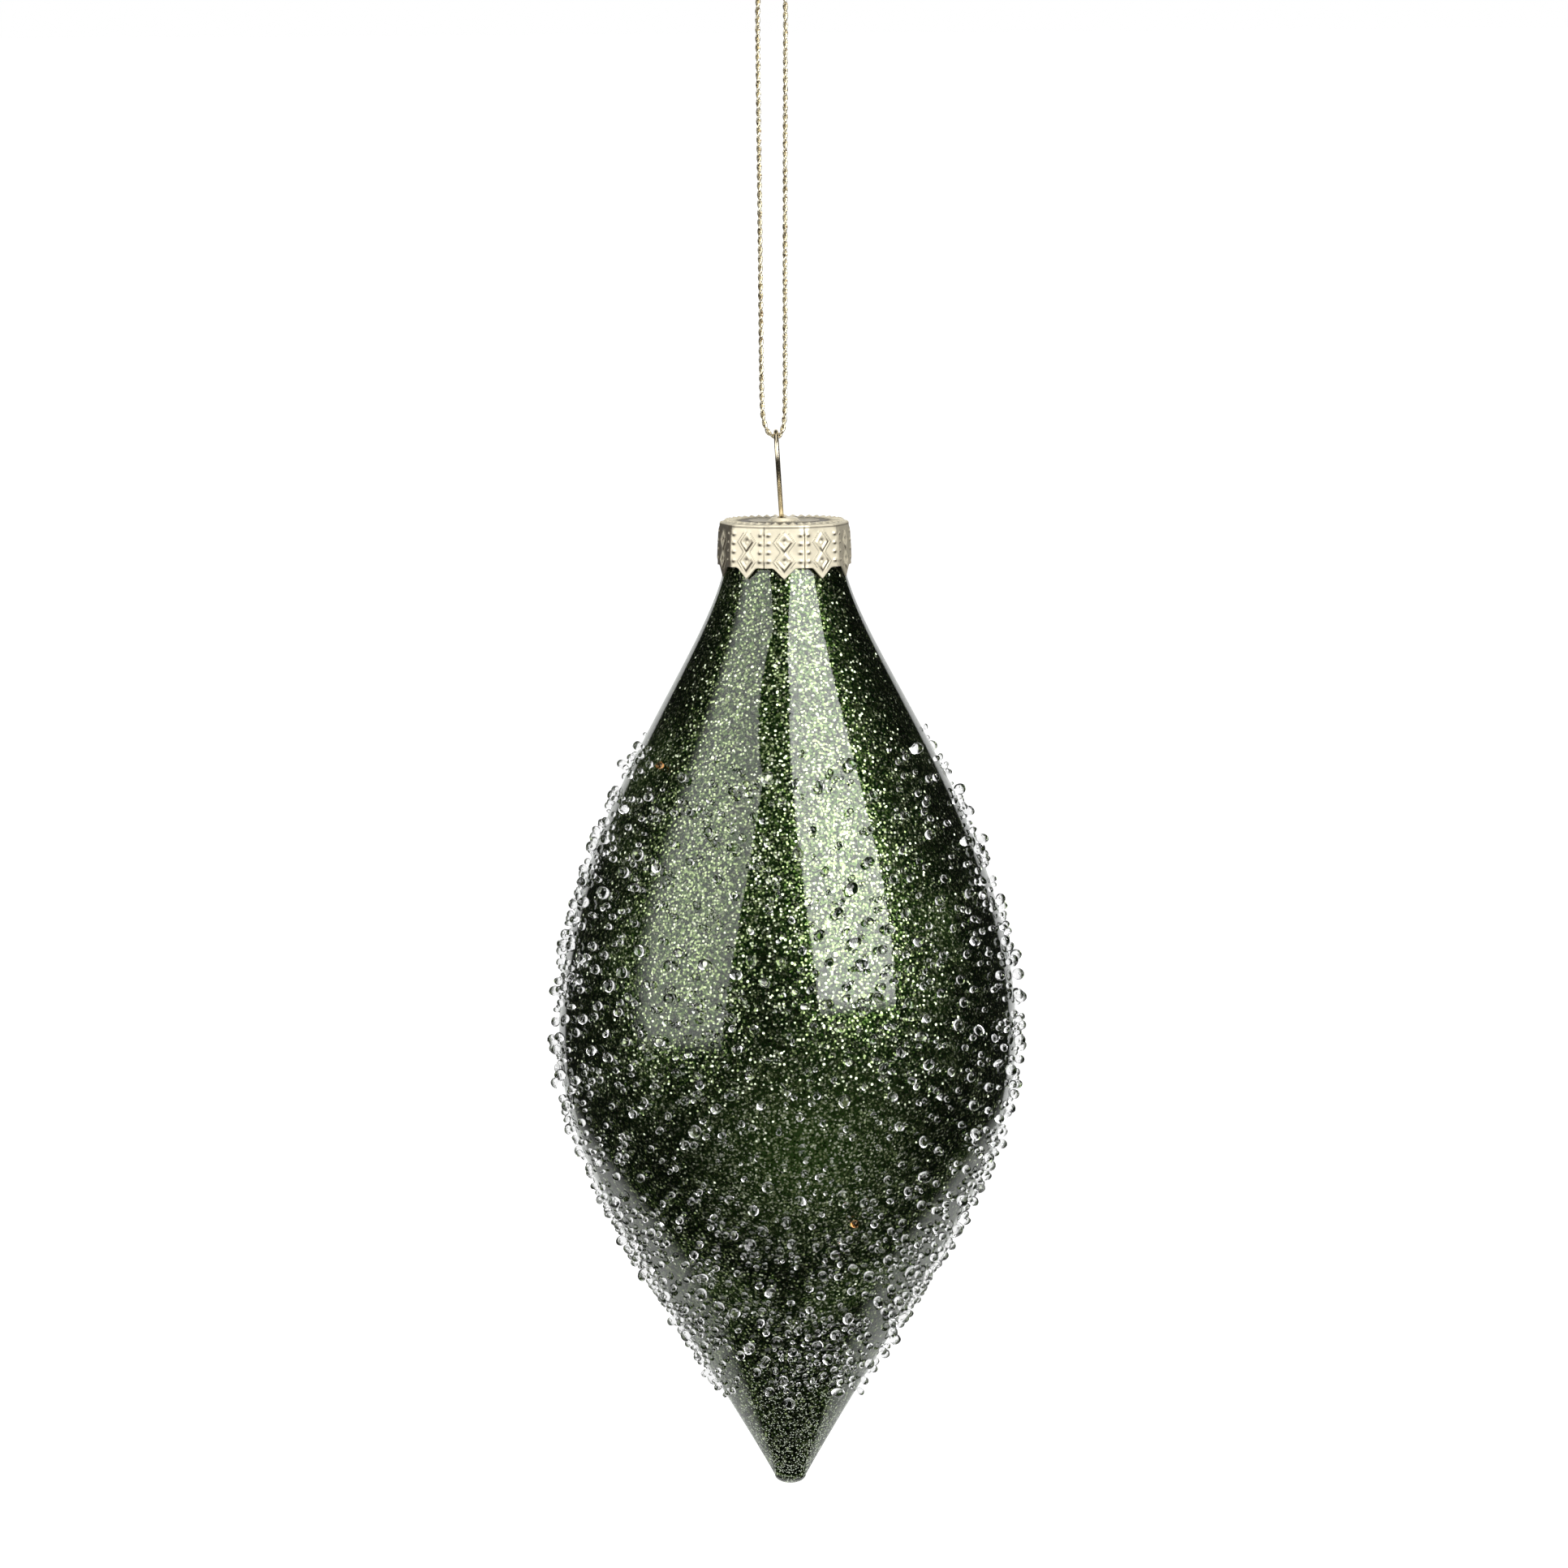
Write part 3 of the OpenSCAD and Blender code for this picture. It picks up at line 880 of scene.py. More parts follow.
@dataclass
class GluedBeads:
    """Clear beads on the drop: the CAD's large ones, and small ones that cluster round them."""

    outline: DropOutline
    bands: int = 9
    small_count: int = 1500
    small_r: Pair = (0.3 * MM, 0.62 * MM)
    film: float = 0.04 * MM
    lowest: float = 114.5 * MM
    highest: float = 27.5 * MM
    density: tuple[tuple[float, ...], ...] = ((27, 40, 52, 70, 80, 90, 110, 114),
                                              (0.15, 0.3, 0.25, 0.2, 0.2, 0.9, 1.1, 0.6))
    tries_each: int = 12
    cluster_share: float = 0.6
    cluster: float = 5 * MM
    cluster_from: float = 0.03
    squeeze: float = 0.97
    cell: float = 2.2 * MM
    squash: Pair = (0.68, 1.0)
    lump: float = 0.05
    ripple: Pair = (2, 3.4)
    ripple_start: float = 6.0
    merge: float = 0.001 * MM
    amber: tuple[Pair, ...] = ((-15.05, -42.6), (9.4, -101.2))
    amber_r: float = 0.62 * MM
    seed: int = 23
    finish: ClearGlass = ClearGlass("clear_bead_glass", ior=1.52)
    amber_finish: ClearGlass = ClearGlass("amber_bead_glass", tint=(0.82, 0.64, 0.44))

    def read_band(self, node: str) -> np.ndarray:
        """Finds the balls of one CAD node.

        Args:
            node: Name of the node.

        Returns:
            Centre and radius of each ball.
        """
        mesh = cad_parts[node].data
        points = np.empty(len(mesh.vertices) * 3, np.float32)
        mesh.vertices.foreach_get("co", points)
        edges = np.empty(len(mesh.edges) * 2, np.int32)
        mesh.edges.foreach_get("vertices", edges)
        points = points.reshape(-1, 3)
        spots, merged = np.unique(np.round(points / self.merge), axis=0, return_inverse=True)
        joined = merged.reshape(-1)[edges].reshape(-1, 2)
        label = np.arange(len(spots))
        while True:
            lowest = label.copy()
            np.minimum.at(lowest, joined[:, 0], label[joined[:, 1]])
            np.minimum.at(lowest, joined[:, 1], label[joined[:, 0]])
            lowest = lowest[lowest]
            if np.array_equal(lowest, label):
                break
            label = lowest
        balls = []
        own = label[merged.reshape(-1)]
        for mark in np.unique(own):
            part = points[own == mark]
            low, high = part.min(axis=0), part.max(axis=0)
            balls.append([*(low + high) / 2, float((high - low).mean()) / 2])
        return np.array(balls)

    def seat(self, u: np.ndarray, turn: np.ndarray, r: np.ndarray) -> np.ndarray:
        """Centres of balls that lie on the glass.

        Args:
            u: Places along the outline.
            turn: Angles round the axis.
            r: Radii of the balls.

        Returns:
            One centre a row.
        """
        point, out = self.outline.at(u)
        flat = point + (r + self.film)[:, None] * out
        return np.stack([self.outline.axis_x + flat[:, 0] * np.cos(turn),
                         flat[:, 0] * np.sin(turn), flat[:, 1]], axis=1)

    def small_balls(self, large: np.ndarray) -> np.ndarray:
        """Places small balls between and against the large ones.

        Args:
            large: Centre and radius of each large ball.

        Returns:
            Centre and radius of each small ball.
        """
        rng = np.random.default_rng(self.seed)
        axis_x, lip_z = self.outline.axis_x, self.outline.lip_z
        levels, line, _ = self.outline.samples()
        depth = lip_z - line[:, 1]
        area = line[:, 0] * np.hypot(*np.gradient(line, axis=0).T)
        thin = np.interp(depth / MM, *self.density)
        weight = np.where((depth > self.highest) & (depth < self.lowest), area * thin, 0)
        reach = np.cumsum(weight) / weight.sum()
        tries = self.tries_each * self.small_count
        r = rng.uniform(*self.small_r, tries)
        u = np.interp(rng.random(tries), reach, levels)
        turn = rng.uniform(0, 2 * math.pi, tries)
        near = rng.random(tries) < self.cluster_share
        wanted = np.interp(lip_z - large[:, 2], depth, thin)
        host = large[rng.choice(len(large), tries, p=wanted / wanted.sum())]
        host_turn = np.arctan2(host[:, 1], host[:, 0] - axis_x)
        host_u = np.interp(-host[:, 2], -line[:, 1], levels)
        host_r = np.hypot(host[:, 1], host[:, 0] - axis_x)
        gap = host[:, 3] + r
        swing = rng.uniform(0, 2 * math.pi, tries)
        slope = np.interp(host_u, levels, np.gradient(levels, depth))
        turn = np.where(near, host_turn + gap * np.cos(swing) / host_r, turn)
        u = np.where(near, host_u + gap * np.sin(swing) * slope, u)
        centres = self.seat(u, turn, r)
        grid: dict[tuple[int, int, int], list] = {}

        def key(point: np.ndarray) -> tuple[int, int, int]:
            """Cell of the search grid that a point lies in."""
            return tuple(int(v) for v in np.floor(np.asarray(point[:3]) / self.cell))

        for ball in large:
            grid.setdefault(key(ball), []).append(tuple(ball))
        small = []
        for centre, radius in zip(centres, r):
            if (not self.highest < lip_z - centre[2] < self.lowest
                    or noise.noise(Vector(centre) / self.cluster) < self.cluster_from):
                continue
            home = key(centre)
            around = [ball for step in itertools.product((-1, 0, 1), repeat=3)
                      for ball in grid.get(tuple(map(sum, zip(home, step))), [])]
            if any(math.dist(centre, ball[:3]) < self.squeeze * (radius + ball[3])
                   for ball in around):
                continue
            ball = (*centre, radius)
            grid.setdefault(home, []).append(ball)
            small.append(ball)
            if len(small) == self.small_count:
                break
        return np.array(small)

    def ball_shape(self, kind: BeadKind) -> tuple[np.ndarray, np.ndarray]:
        """Ball of radius one.

        Args:
            kind: How finely it is divided.

        Returns:
            The points and the faces.
        """
        shape = bmesh.new()
        bmesh.ops.create_icosphere(shape, subdivisions=kind.value, radius=1.0)
        points = np.array([v.co[:] for v in shape.verts])
        faces = np.array([[v.index for v in f.verts] for f in shape.faces])
        shape.free()
        return points, faces

    def outward(self, balls: np.ndarray) -> np.ndarray:
        """Directions out of the glass at the balls.

        Args:
            balls: Centre and radius of each.

        Returns:
            One unit direction a row.
        """
        _, line, out = self.outline.samples()
        turn = np.arctan2(balls[:, 1], balls[:, 0] - self.outline.axis_x)
        flat = [np.interp(-balls[:, 2], -line[:, 1], out[:, i]) for i in range(2)]
        return unit(np.stack([flat[0] * np.cos(turn), flat[0] * np.sin(turn), flat[1]], axis=1))

    def add_balls(self, sketch: MeshSketch, balls: np.ndarray, kind: BeadKind,
                  rng: np.random.Generator) -> None:
        """Adds a ball for each centre, turned, flattened and lumpy by chance, down on the glass.

        Args:
            sketch: Mesh that they go in.
            balls: Centre and radius of each.
            kind: How finely they are divided.
            rng: Source of chance.
        """
        if not len(balls):
            return
        points, faces = self.ball_shape(kind)
        for (x, y, z, r), out in zip(balls, self.outward(balls)):
            turn = Matrix.Rotation(rng.uniform(0, math.pi), 3, Vector(unit(rng.normal(size=3))))
            waves = unit(rng.normal(size=(3, 3))) @ points.T * rng.uniform(*self.ripple)
            waves += rng.uniform(0, self.ripple_start, (3, 1))
            lumps = 1 + self.lump * np.sin(waves).sum(axis=0)
            shape = points * lumps[:, None] * rng.uniform(*self.squash, 3) @ np.array(turn)
            shape *= r / np.linalg.norm(shape, axis=1).max()
            gap = r + (shape @ out).min()
            sketch.add(shape - gap * out + (x, y, z), [faces])

    def amber_beads(self, rng: np.random.Generator) -> bpy.types.Object:
        """Builds the few amber beads that lie among the clear ones.

        Args:
            rng: Source of chance.

        Returns:
            The piece.
        """
        levels, line, _ = self.outline.samples()
        places = np.array(self.amber) * MM
        u = np.interp(-places[:, 1], -line[:, 1], levels)
        turn = -np.arccos((places[:, 0] - self.outline.axis_x) / self.outline.at(u)[0][:, 0])
        radii = np.full(len(places), self.amber_r)
        balls = np.concatenate([self.seat(u, turn, radii), radii[:, None]], axis=1)
        sketch = MeshSketch()
        self.add_balls(sketch, balls, BeadKind.LARGE, rng)
        return dress(sketch.finish("amber_beads"), Slot.BEADS, self.amber_finish.material())

    def build(self) -> list[bpy.types.Object]:
        """Builds one piece for each band of the CAD, and one of the amber beads.

        Returns:
            The pieces.
        """
        nodes = [f"bead_band_{i + 1}" for i in range(self.bands)]
        bands = [self.read_band(node) for node in nodes]
        large = np.concatenate(bands)
        small = self.small_balls(large)
        owner = np.repeat(np.arange(self.bands), [len(band) for band in bands])
        tree = KDTree(len(large))
        for i, ball in enumerate(large):
            tree.insert(ball[:3], i)
        tree.balance()
        home = np.array([owner[tree.find(ball[:3])[1]] for ball in small])
        rng = np.random.default_rng(self.seed + 1)
        material = self.finish.material()
        pieces = []
        for i, node in enumerate(nodes):
            sketch = MeshSketch()
            self.add_balls(sketch, bands[i], BeadKind.LARGE, rng)
            self.add_balls(sketch, small[home == i], BeadKind.SMALL, rng)
            pieces.append(dress(sketch.finish(f"glued_beads_{i + 1}"), Slot.BEADS, material, node))
        LOG.info("beads: %d large and %d small", len(large), len(small))
        return [*pieces, self.amber_beads(rng)]


@dataclass
class CrownCap:
    """The stamped cap: a flat top, a rounded rim and a skirt of petals cut from one sheet."""

    outline: DropOutline
    sheet: float = 0.25 * MM
    petals: int = 10
    neck_room: float = 0.32 * MM
    shoulder_room: float = 0.15 * MM
    scallop_depth: float = 5.4 * MM
    petal_depth: float = 6.85 * MM
    petal_slope: float = math.radians(45)
    scallop_r: float = 0.7 * MM
    slit_w: float = 0.16 * MM
    slit_from: float = 0.9 * MM
    slit_soft: float = 0.12 * MM
    corner_cut: float = 0.19 * MM
    emboss: float = 0.13 * MM
    lozenge_w: float = 1.95 * MM
    lozenge_h: float = 2.45 * MM
    lozenge_first: float = 2.045 * MM
    lozenge_pitch: float = 2.55 * MM
    lozenge_rows: int = 2
    # Painted shade on each lozenge's lower right side and along its outline
    lozenge_shade: Ridge = Ridge(0.97, 0.17)
    lozenge_line: Ridge = Ridge(1.1, 0.06, level=0.6)
    shade_reach: float = 0.5 * MM
    frame_share: Pair = (0.52, 1.1)
    frame_soft: float = 0.12
    stud: float = 0.36 * MM
    stud_drop: float = 0.1 * MM
    stud_h: float = 0.9
    stud_top: float = 1.2
    # Painted dark mark above each stud, with its place and its width
    stud_mark: Ridge = Ridge(0, 0.21 * MM)
    stud_mark_rise: float = 0.3 * MM
    stud_mark_stretch: float = 1.3
    zigzag_out: Pair = (0.42 * MM, 0.6 * MM)
    zigzag: Ridge = Ridge(0.97, 0.07, level=0.4)
    # Painted shade along the zigzag
    zigzag_line: Ridge = Ridge(1.05, 0.045, level=0.85)
    zigzag_gaps: Pair = (0.25 * MM, 0.5 * MM)
    zigzag_over: float = 0.4 * MM
    dot_r: float = 0.24 * MM
    dot_first: float = 1.05 * MM
    dot_pitch: float = 1.15 * MM
    dot_rows: int = 4
    # Painted shadow just below each raised dot
    dot_mark: Ridge = Ridge(0, 0.18 * MM)
    dot_mark_drop: float = 0.15 * MM
    dot_mark_stretch: float = 1.7
    # Painted shade in a line just below the rim and in the folds at the corners
    rim_line: Ridge = Ridge(0.1 * MM, 0.1 * MM, level=0.85)
    fold: Ridge = Ridge(0, 0.15 * MM)
    fold_over: float = 0.3 * MM
    fold_dark: float = 0.8
    fold_h: float = 1.2
    teeth: int = 42
    tooth_h: float = 0.32 * MM
    tooth_reach: float = 2.7 * MM
    tooth_l: float = 2.45 * MM
    tooth_slope: float = 0.9
    tooth_end: Pair = (1.05, 0.1)
    # Painted shade of the top: between the teeth, in the valley at their foot and on the plain part
    # inside them
    gap_slope: float = 0.25
    gap_share: Pair = (-0.3, 1.04)
    gap_dark: float = 0.85
    top_ring: Ridge = Ridge(-0.8 * MM, 0.16 * MM)
    boss_ring: Ridge = Ridge(0.9 * MM, 0.2 * MM, level=0.7)
    valley: Ridge = Ridge(-0.3 * MM, 0.2 * MM, level=0.7)
    plain_soft: float = 0.2 * MM
    plain_dark: float = 0.45
    # Painted shade: how fast it leaves raised stamping, which would catch the light, how dark the
    # rounded rim is painted, and how dark each petal's flat parts are painted, darkest on the
    # petals that would mirror dark surroundings
    lit_relief: float = 1.5
    rim_dark: float = 0.12
    painted_petal_shade: tuple[float, ...] = (0.0, 0.03, 0.45, 0.3, 0.1, 0.15, 0.1, 0.4, 0.85, 0.0)
    boss_r: float = 2.1 * MM
    boss_h: float = 0.45 * MM
    leg_half: float = 0.75 * MM
    slot_r: float = 0.51 * MM
    foot_off: float = 0.3 * MM
    columns: int = 36
    petal_rows: int = 48
    rim_rows: int = 5
    top_rows: int = 44
    crowding: float = 0.9
    fit_steps: int = 200
    weld_gap: float = 0.004 * MM
    finish: StampedMetal = StampedMetal("stamped_champagne_metal")
    top_z: float = field(init=False)
    flare: float = field(init=False)

    def __post_init__(self) -> None:
        """Reads the cap's level from the frame and opens the petals until they clear the glass."""
        boss_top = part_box("crown_cap")[1].z
        self.top_z = boss_top - self.boss_h
        line, _ = self.outline.at(np.linspace(0, 2, self.fit_steps))
        tip_z = self.top_z - self.petal_depth
        glass_r = float(np.interp(-tip_z, -line[:, 1], line[:, 0]))
        reach = glass_r + self.shoulder_room + self.sheet - self.flat_r()
        self.flare = math.atan2(max(0.0, reach), self.petal_depth)

    def flat_r(self) -> float:
        """Distance from the axis to the outer face of a petal, at the rim."""
        return self.outline.neck_r + self.neck_room + self.sheet

    def edge(self, x: np.ndarray) -> np.ndarray:
        """Lower edge of a petal.

        Args:
            x: Distances from the petal's middle.

        Returns:
            Depth of the edge below the rim at each distance.
        """
        start = ((self.scallop_r * (1 / math.cos(self.petal_slope) - 1)
                  + self.petal_depth - self.scallop_depth) / math.tan(self.petal_slope))
        bend = self.scallop_r * math.sin(self.petal_slope)
        inward = np.clip(start - np.abs(x), 0, None)
        curve = self.scallop_r - np.sqrt(np.clip(self.scallop_r**2 - np.minimum(inward, bend) ** 2,
                                                 0, None))
        slope = np.clip(inward - bend, 0, None) * math.tan(self.petal_slope)
        return self.scallop_depth + curve + slope

    def petal_relief(self, x: np.ndarray, depth: np.ndarray) -> tuple[np.ndarray, np.ndarray]:
        """Height of the stamping on a petal, and its painted shade: dark sides and lines where the
        stamping would lie in shade, a dark line just below the rim and dark folds at the corners.

        Args:
            x: Distances from the petal's middle.
            depth: Depths below the rim.

        Returns:
            The height and the painted shade at each point.
        """
        heights, darks = [], []
        nearest = np.full_like(x, np.inf)
        for row in range(self.lozenge_rows):
            down = depth - self.lozenge_first - row * self.lozenge_pitch
            share = np.abs(x) / (self.lozenge_w / 2) + np.abs(down) / (self.lozenge_h / 2)
            low, high = self.frame_share
            heights.append(np.clip((share - low) / self.frame_soft, 0, 1)
                           * np.clip((high - share) / self.frame_soft, 0, 1))
            stud = (np.abs(x) + np.abs(down - self.stud_drop)) / self.stud
            heights.append(self.stud_h * np.clip(self.stud_top - stud, 0, 1))
            # Painted shade on each lozenge's lower right side and along its outline, and a painted
            # dark mark above its stud
            shaded = np.clip((x + down) / self.shade_reach, 0, 1)
            above = np.hypot(x / self.stud_mark_stretch, down + self.stud_mark_rise)
            darks += [shaded * self.lozenge_shade.over(share), self.lozenge_line.over(share),
                      self.stud_mark.over(above)]
            nearest = np.minimum(nearest, np.abs(x) / (self.lozenge_w / 2 + self.zigzag_out[0])
                                 + np.abs(down) / (self.lozenge_h / 2 + self.zigzag_out[1]))
        ridge_from, line_from = self.zigzag_gaps
        heights.append(self.zigzag.over(nearest) * (np.abs(x) > ridge_from)
                       * (depth < self.scallop_depth + self.zigzag_over))
        # Painted shade along the zigzag
        darks.append(self.zigzag_line.over(nearest) * (np.abs(x) > line_from)
                     * (depth < self.scallop_depth))
        side = self.flat_r() * math.tan(math.pi / self.petals)
        across = np.abs(x) - (side - self.slit_w / 2 - 2 * self.dot_r)
        for row in range(self.dot_rows):
            down = depth - self.dot_first - row * self.dot_pitch
            spot = np.hypot(across, down) / self.dot_r
            heights.append(np.sqrt(np.clip(1 - spot**2, 0, None)))
            # Painted shadow just below each raised dot
            below = np.hypot(across / self.dot_mark_stretch, down - self.dot_mark_drop)
            darks.append(self.dot_mark.over(below))
        # Painted shade in the fold at each corner and along the line just below the rim
        fold = self.fold.over(side - np.abs(x)) * (depth < self.slit_from + self.fold_over)
        darks += [self.rim_line.over(depth), self.fold_dark * fold]
        height = np.maximum.reduce(heights) - self.fold_h * fold
        return height * self.emboss, np.maximum.reduce(darks)

    def top_relief(self, x: np.ndarray, y: np.ndarray, rim: float) -> tuple[np.ndarray, np.ndarray]:
        """Height of the stamping on the top, and its painted shade between the teeth, in the valley
        at their foot and on the plain part inside them.

        Args:
            x: Places along X from the axis.
            y: Places along Y.
            rim: Radius of the rim.

        Returns:
            The height and the painted shade at each point.
        """
        r = np.hypot(x, y)
        turn = np.arctan2(y, x) * self.teeth / (2 * math.pi)
        swing = np.abs((turn % 1.0) - 0.5) * 2
        past = r - (rim - self.tooth_reach)
        share = past / self.tooth_l
        end, end_soft = self.tooth_end
        tooth = (np.clip((share - swing) / self.tooth_slope, 0, 1)
                 * np.clip((end - share) / end_soft, 0, 1))
        height = np.maximum.reduce([
            tooth * self.tooth_h,
            self.top_ring.over(past) * self.emboss,
            self.boss_ring.over(r - self.boss_r) * self.emboss,
            np.clip((self.boss_r - r) / self.boss_h, 0, 1) * self.boss_h,
        ])
        # Painted shade between the teeth, in the valley at their foot and on the plain part
        low, high = self.gap_share
        between = np.clip(1 - tooth / self.gap_slope, 0, 1) * (share > low) * (share < high)
        plain = np.clip(-past / self.plain_soft, 0, 1) * (r > self.boss_r)
        return height, np.maximum.reduce([self.gap_dark * between, self.valley.over(past),
                                          self.plain_dark * plain])

    def slot_edge(self, angle: np.ndarray) -> np.ndarray:
        """Points of the leg slot's outline.

        Args:
            angle: Directions from its middle.

        Returns:
            The point in each direction.
        """
        way = np.stack([np.cos(angle), np.sin(angle)], axis=1)
        c, s = np.abs(way).T
        flat = self.slot_r / np.maximum(c, TINY)
        low = self.leg_half * s
        bent = low + np.sqrt(np.clip(low**2 - self.leg_half**2 + self.slot_r**2, 0, None))
        return np.where(flat * s <= self.leg_half, flat, bent)[:, None] * way

    def petal_points(self, middle: float, painted_petal_shade: float) -> tuple[np.ndarray, np.ndarray]:
        """Outer face of one petal, from the rounded rim down to its scalloped edge.

        Args:
            middle: Angle of its middle round the axis.
            painted_petal_shade: Painted shade on its flat parts, for the dark surroundings that
                they would mirror.

        Returns:
            Rows of points, and the painted shade at each.
        """
        lean, half_turn = self.flare, math.pi / self.petals
        share = np.linspace(-1, 1, self.columns + 1)
        full = self.flat_r() * math.tan(half_turn)
        rows = np.linspace(0, 1, self.petal_rows + 1)[:, None]
        depth = rows * self.edge(share * full)[None]
        slit = np.clip((depth - self.slit_from) / self.slit_soft, 0, 1) * self.slit_w / 2
        half = (self.flat_r() + depth * math.sin(lean)) * math.tan(half_turn) - slit
        x = share[None] * half
        relief, dark = self.petal_relief(x, depth)
        flat = np.clip(1 - self.lit_relief * relief / self.emboss, 0, 1)
        # Painted shade on the petal's flat parts, kept off raised stamping, which would catch the
        # light
        dark = np.maximum(dark, painted_petal_shade * flat)
        out = self.flat_r() + depth * math.sin(lean) + relief * math.cos(lean)
        down = self.sheet + depth * math.cos(lean) - relief * math.sin(lean)
        bend = np.linspace(math.pi / 2, 0, self.rim_rows + 1)[:-1, None]
        bend = np.repeat(bend, self.columns + 1, axis=1)
        top_out = self.flat_r() - self.sheet + self.sheet * np.cos(bend)
        out = np.concatenate([top_out, out])
        down = np.concatenate([self.sheet - self.sheet * np.sin(bend), down])
        x = np.concatenate([share[None] * top_out * math.tan(half_turn), x])
        # The rounded rim gets a light painted shade
        dark = np.concatenate([np.full_like(top_out, self.rim_dark), dark])
        reach = np.hypot(out, x)
        limit = out.max(axis=1, keepdims=True) / math.cos(half_turn) - self.corner_cut
        pull = np.minimum(1, limit / reach)
        out, x = out * pull, x * pull
        c, s = math.cos(middle), math.sin(middle)
        points = np.stack([self.outline.axis_x + out * c - x * s, out * s + x * c,
                           self.top_z - down], axis=-1)
        return points, dark

    def build(self) -> bpy.types.Object:
        """Builds the cap as one sheet with an outer and an inner face.

        Returns:
            The piece.
        """
        sketch = MeshSketch()
        darkness, rims = [], []
        # Each petal gets its own painted shade, darkest on the side petals
        for turn, painted_petal_shade in zip(steps_round(self.petals), self.painted_petal_shade):
            points, dark = self.petal_points(turn - math.pi / 2, painted_petal_shade)
            rows, columns, _ = points.shape
            faces = grid_faces(rows, columns)[:, ::-1]
            sketch.add(points.reshape(-1, 3), [faces])
            darkness.append(dark.ravel())
            rims.append(points[0, :-1, :2] - (self.outline.axis_x, 0))
        rim = np.concatenate(rims)
        start = self.slot_edge(np.arctan2(rim[:, 1], rim[:, 0])) - (self.foot_off, 0)
        share = np.linspace(0, 1, self.top_rows + 1)[:, None, None] ** self.crowding
        flat = (1 - share) * start + share * rim
        rim_r = float(np.hypot(*rim.T).mean())
        height, dark = self.top_relief(flat[..., 0], flat[..., 1], rim_r)
        height[-1] = 0
        top = np.stack([self.outline.axis_x + flat[..., 0], flat[..., 1], self.top_z + height],
                       axis=-1)
        sketch.add(top.reshape(-1, 3), [grid_faces(len(top), len(rim), closed=True)[:, ::-1]])
        darkness.append(dark.ravel())
        piece = sketch.finish("stamped_cap")
        # The painted shade goes on the mesh as a point attribute that the finish reads
        painted_shade = piece.data.attributes.new(self.finish.painted_shade, "FLOAT", "POINT")
        painted_shade.data.foreach_set("value", np.concatenate(darkness).astype(np.float32))
        self.weld(piece)
        thickness = piece.modifiers.new("sheet", "SOLIDIFY")
        thickness.thickness = self.sheet
        thickness.offset = -1
        return dress(piece, Slot.CAP, self.finish.material(), "crown_cap")

    def weld(self, piece: bpy.types.Object) -> None:
        """Joins the petals to the top where their points meet.

        Args:
            piece: The cap.
        """
        shape = bmesh.new()
        shape.from_mesh(piece.data)
        bmesh.ops.remove_doubles(shape, verts=shape.verts, dist=self.weld_gap)
        bmesh.ops.recalc_face_normals(shape, faces=shape.faces)
        shape.to_mesh(piece.data)
        shape.free()


@dataclass
class WireEye:
    """The sprung wire: an eye above the cap and two legs inside the neck."""

    wire_r: float = 0.31 * MM
    eye_w: float = 5.6 * MM
    lean: float = math.radians(3.4)
    leg_half: float = 0.75 * MM
    foot_half: float = 5.77 * MM
    slot_level: float = -10.95 * MM
    foot_level: float = -20.9 * MM
    hook: float = 2.1 * MM
    hook_lean: float = 0.6
    shank: float = 0.95 * MM
    arc_steps: int = 40
    step: float = 0.4 * MM
    sides: int = 20
    finish: DrawnWire = DrawnWire("drawn_gold_wire")

    def line(self) -> np.ndarray:
        """Centreline from one foot over the eye to the other.

        Returns:
            Its points.
        """
        eye_r = self.eye_w / 2 + self.wire_r
        middle = np.array([0, self.wire_r - eye_r])
        slot = np.array([self.leg_half, self.slot_level])
        away = slot - middle
        reach = float(np.linalg.norm(away))
        end_angle = math.atan2(away[1], away[0]) + math.acos(eye_r / reach)
        angle = np.linspace(math.pi / 2, end_angle, self.arc_steps)
        arc = middle + eye_r * np.stack([np.cos(angle), np.sin(angle)], axis=1)
        way = unit(slot - arc[-1])
        turn = slot + self.shank * way
        foot = np.array([self.foot_half, self.foot_level])
        hook = foot + self.hook * np.array([math.sin(self.hook_lean), math.cos(self.hook_lean)])
        leg = smooth_line(np.array([[0, *slot], [0, *turn], [0, *(0.5 * (turn + foot))],
                                    [0, *foot], [0, *hook]]), self.step)[1:, 1:]
        half = np.concatenate([arc, slot[None], leg])
        flat = np.concatenate([(half * (-1, 1))[::-1], half[1:]])
        z = flat[:, 1]
        return np.stack([-z * math.sin(self.lean), flat[:, 0], z * math.cos(self.lean)], axis=1)

    def build(self) -> bpy.types.Object:
        """Builds the wire as one bent rod."""
        piece = MeshSketch().add(*tube(self.line(), self.wire_r, self.sides)).finish("bent_wire")
        return dress(piece, Slot.WIRE, self.finish.material(), "wire_eye")


# Route of the cord in the plane of the strands, in millimetres: up the left strand, round the
# small top loop and down the right strand
CORD_ROUTE = (
    (-0.03, -0.38), (-0.55, -0.22), (-1.1, 0.35), (-1.5, 1.4), (-1.75, 3), (-1.85, 7),
    (-1.88, 14), (-1.9, 22), (-1.93, 30), (-1.98, 39), (-2.02, 48), (-2, 56),
    (-1.55, 60), (-0.75, 63), (-0.42, 64.6), (-0.42, 65.9), (-0.42, 67.2), (-0.95, 68.6),
    (-1.95, 70.1), (-2.25, 71.8), (-1.55, 73.5), (0, 74.2), (1.55, 73.5), (2.25, 71.8),
    (1.95, 70.1), (0.95, 68.6), (0.42, 67.2), (0.42, 65.9), (0.42, 64.6), (0.7, 63),
    (1.35, 60), (1.6, 56), (1.55, 48), (1.47, 39), (1.4, 30), (1.33, 22),
    (1.28, 14), (1.24, 7), (1.18, 3), (1.05, 1.4), (0.8, 0.35), (0.45, -0.22), (0.03, -0.38),
)


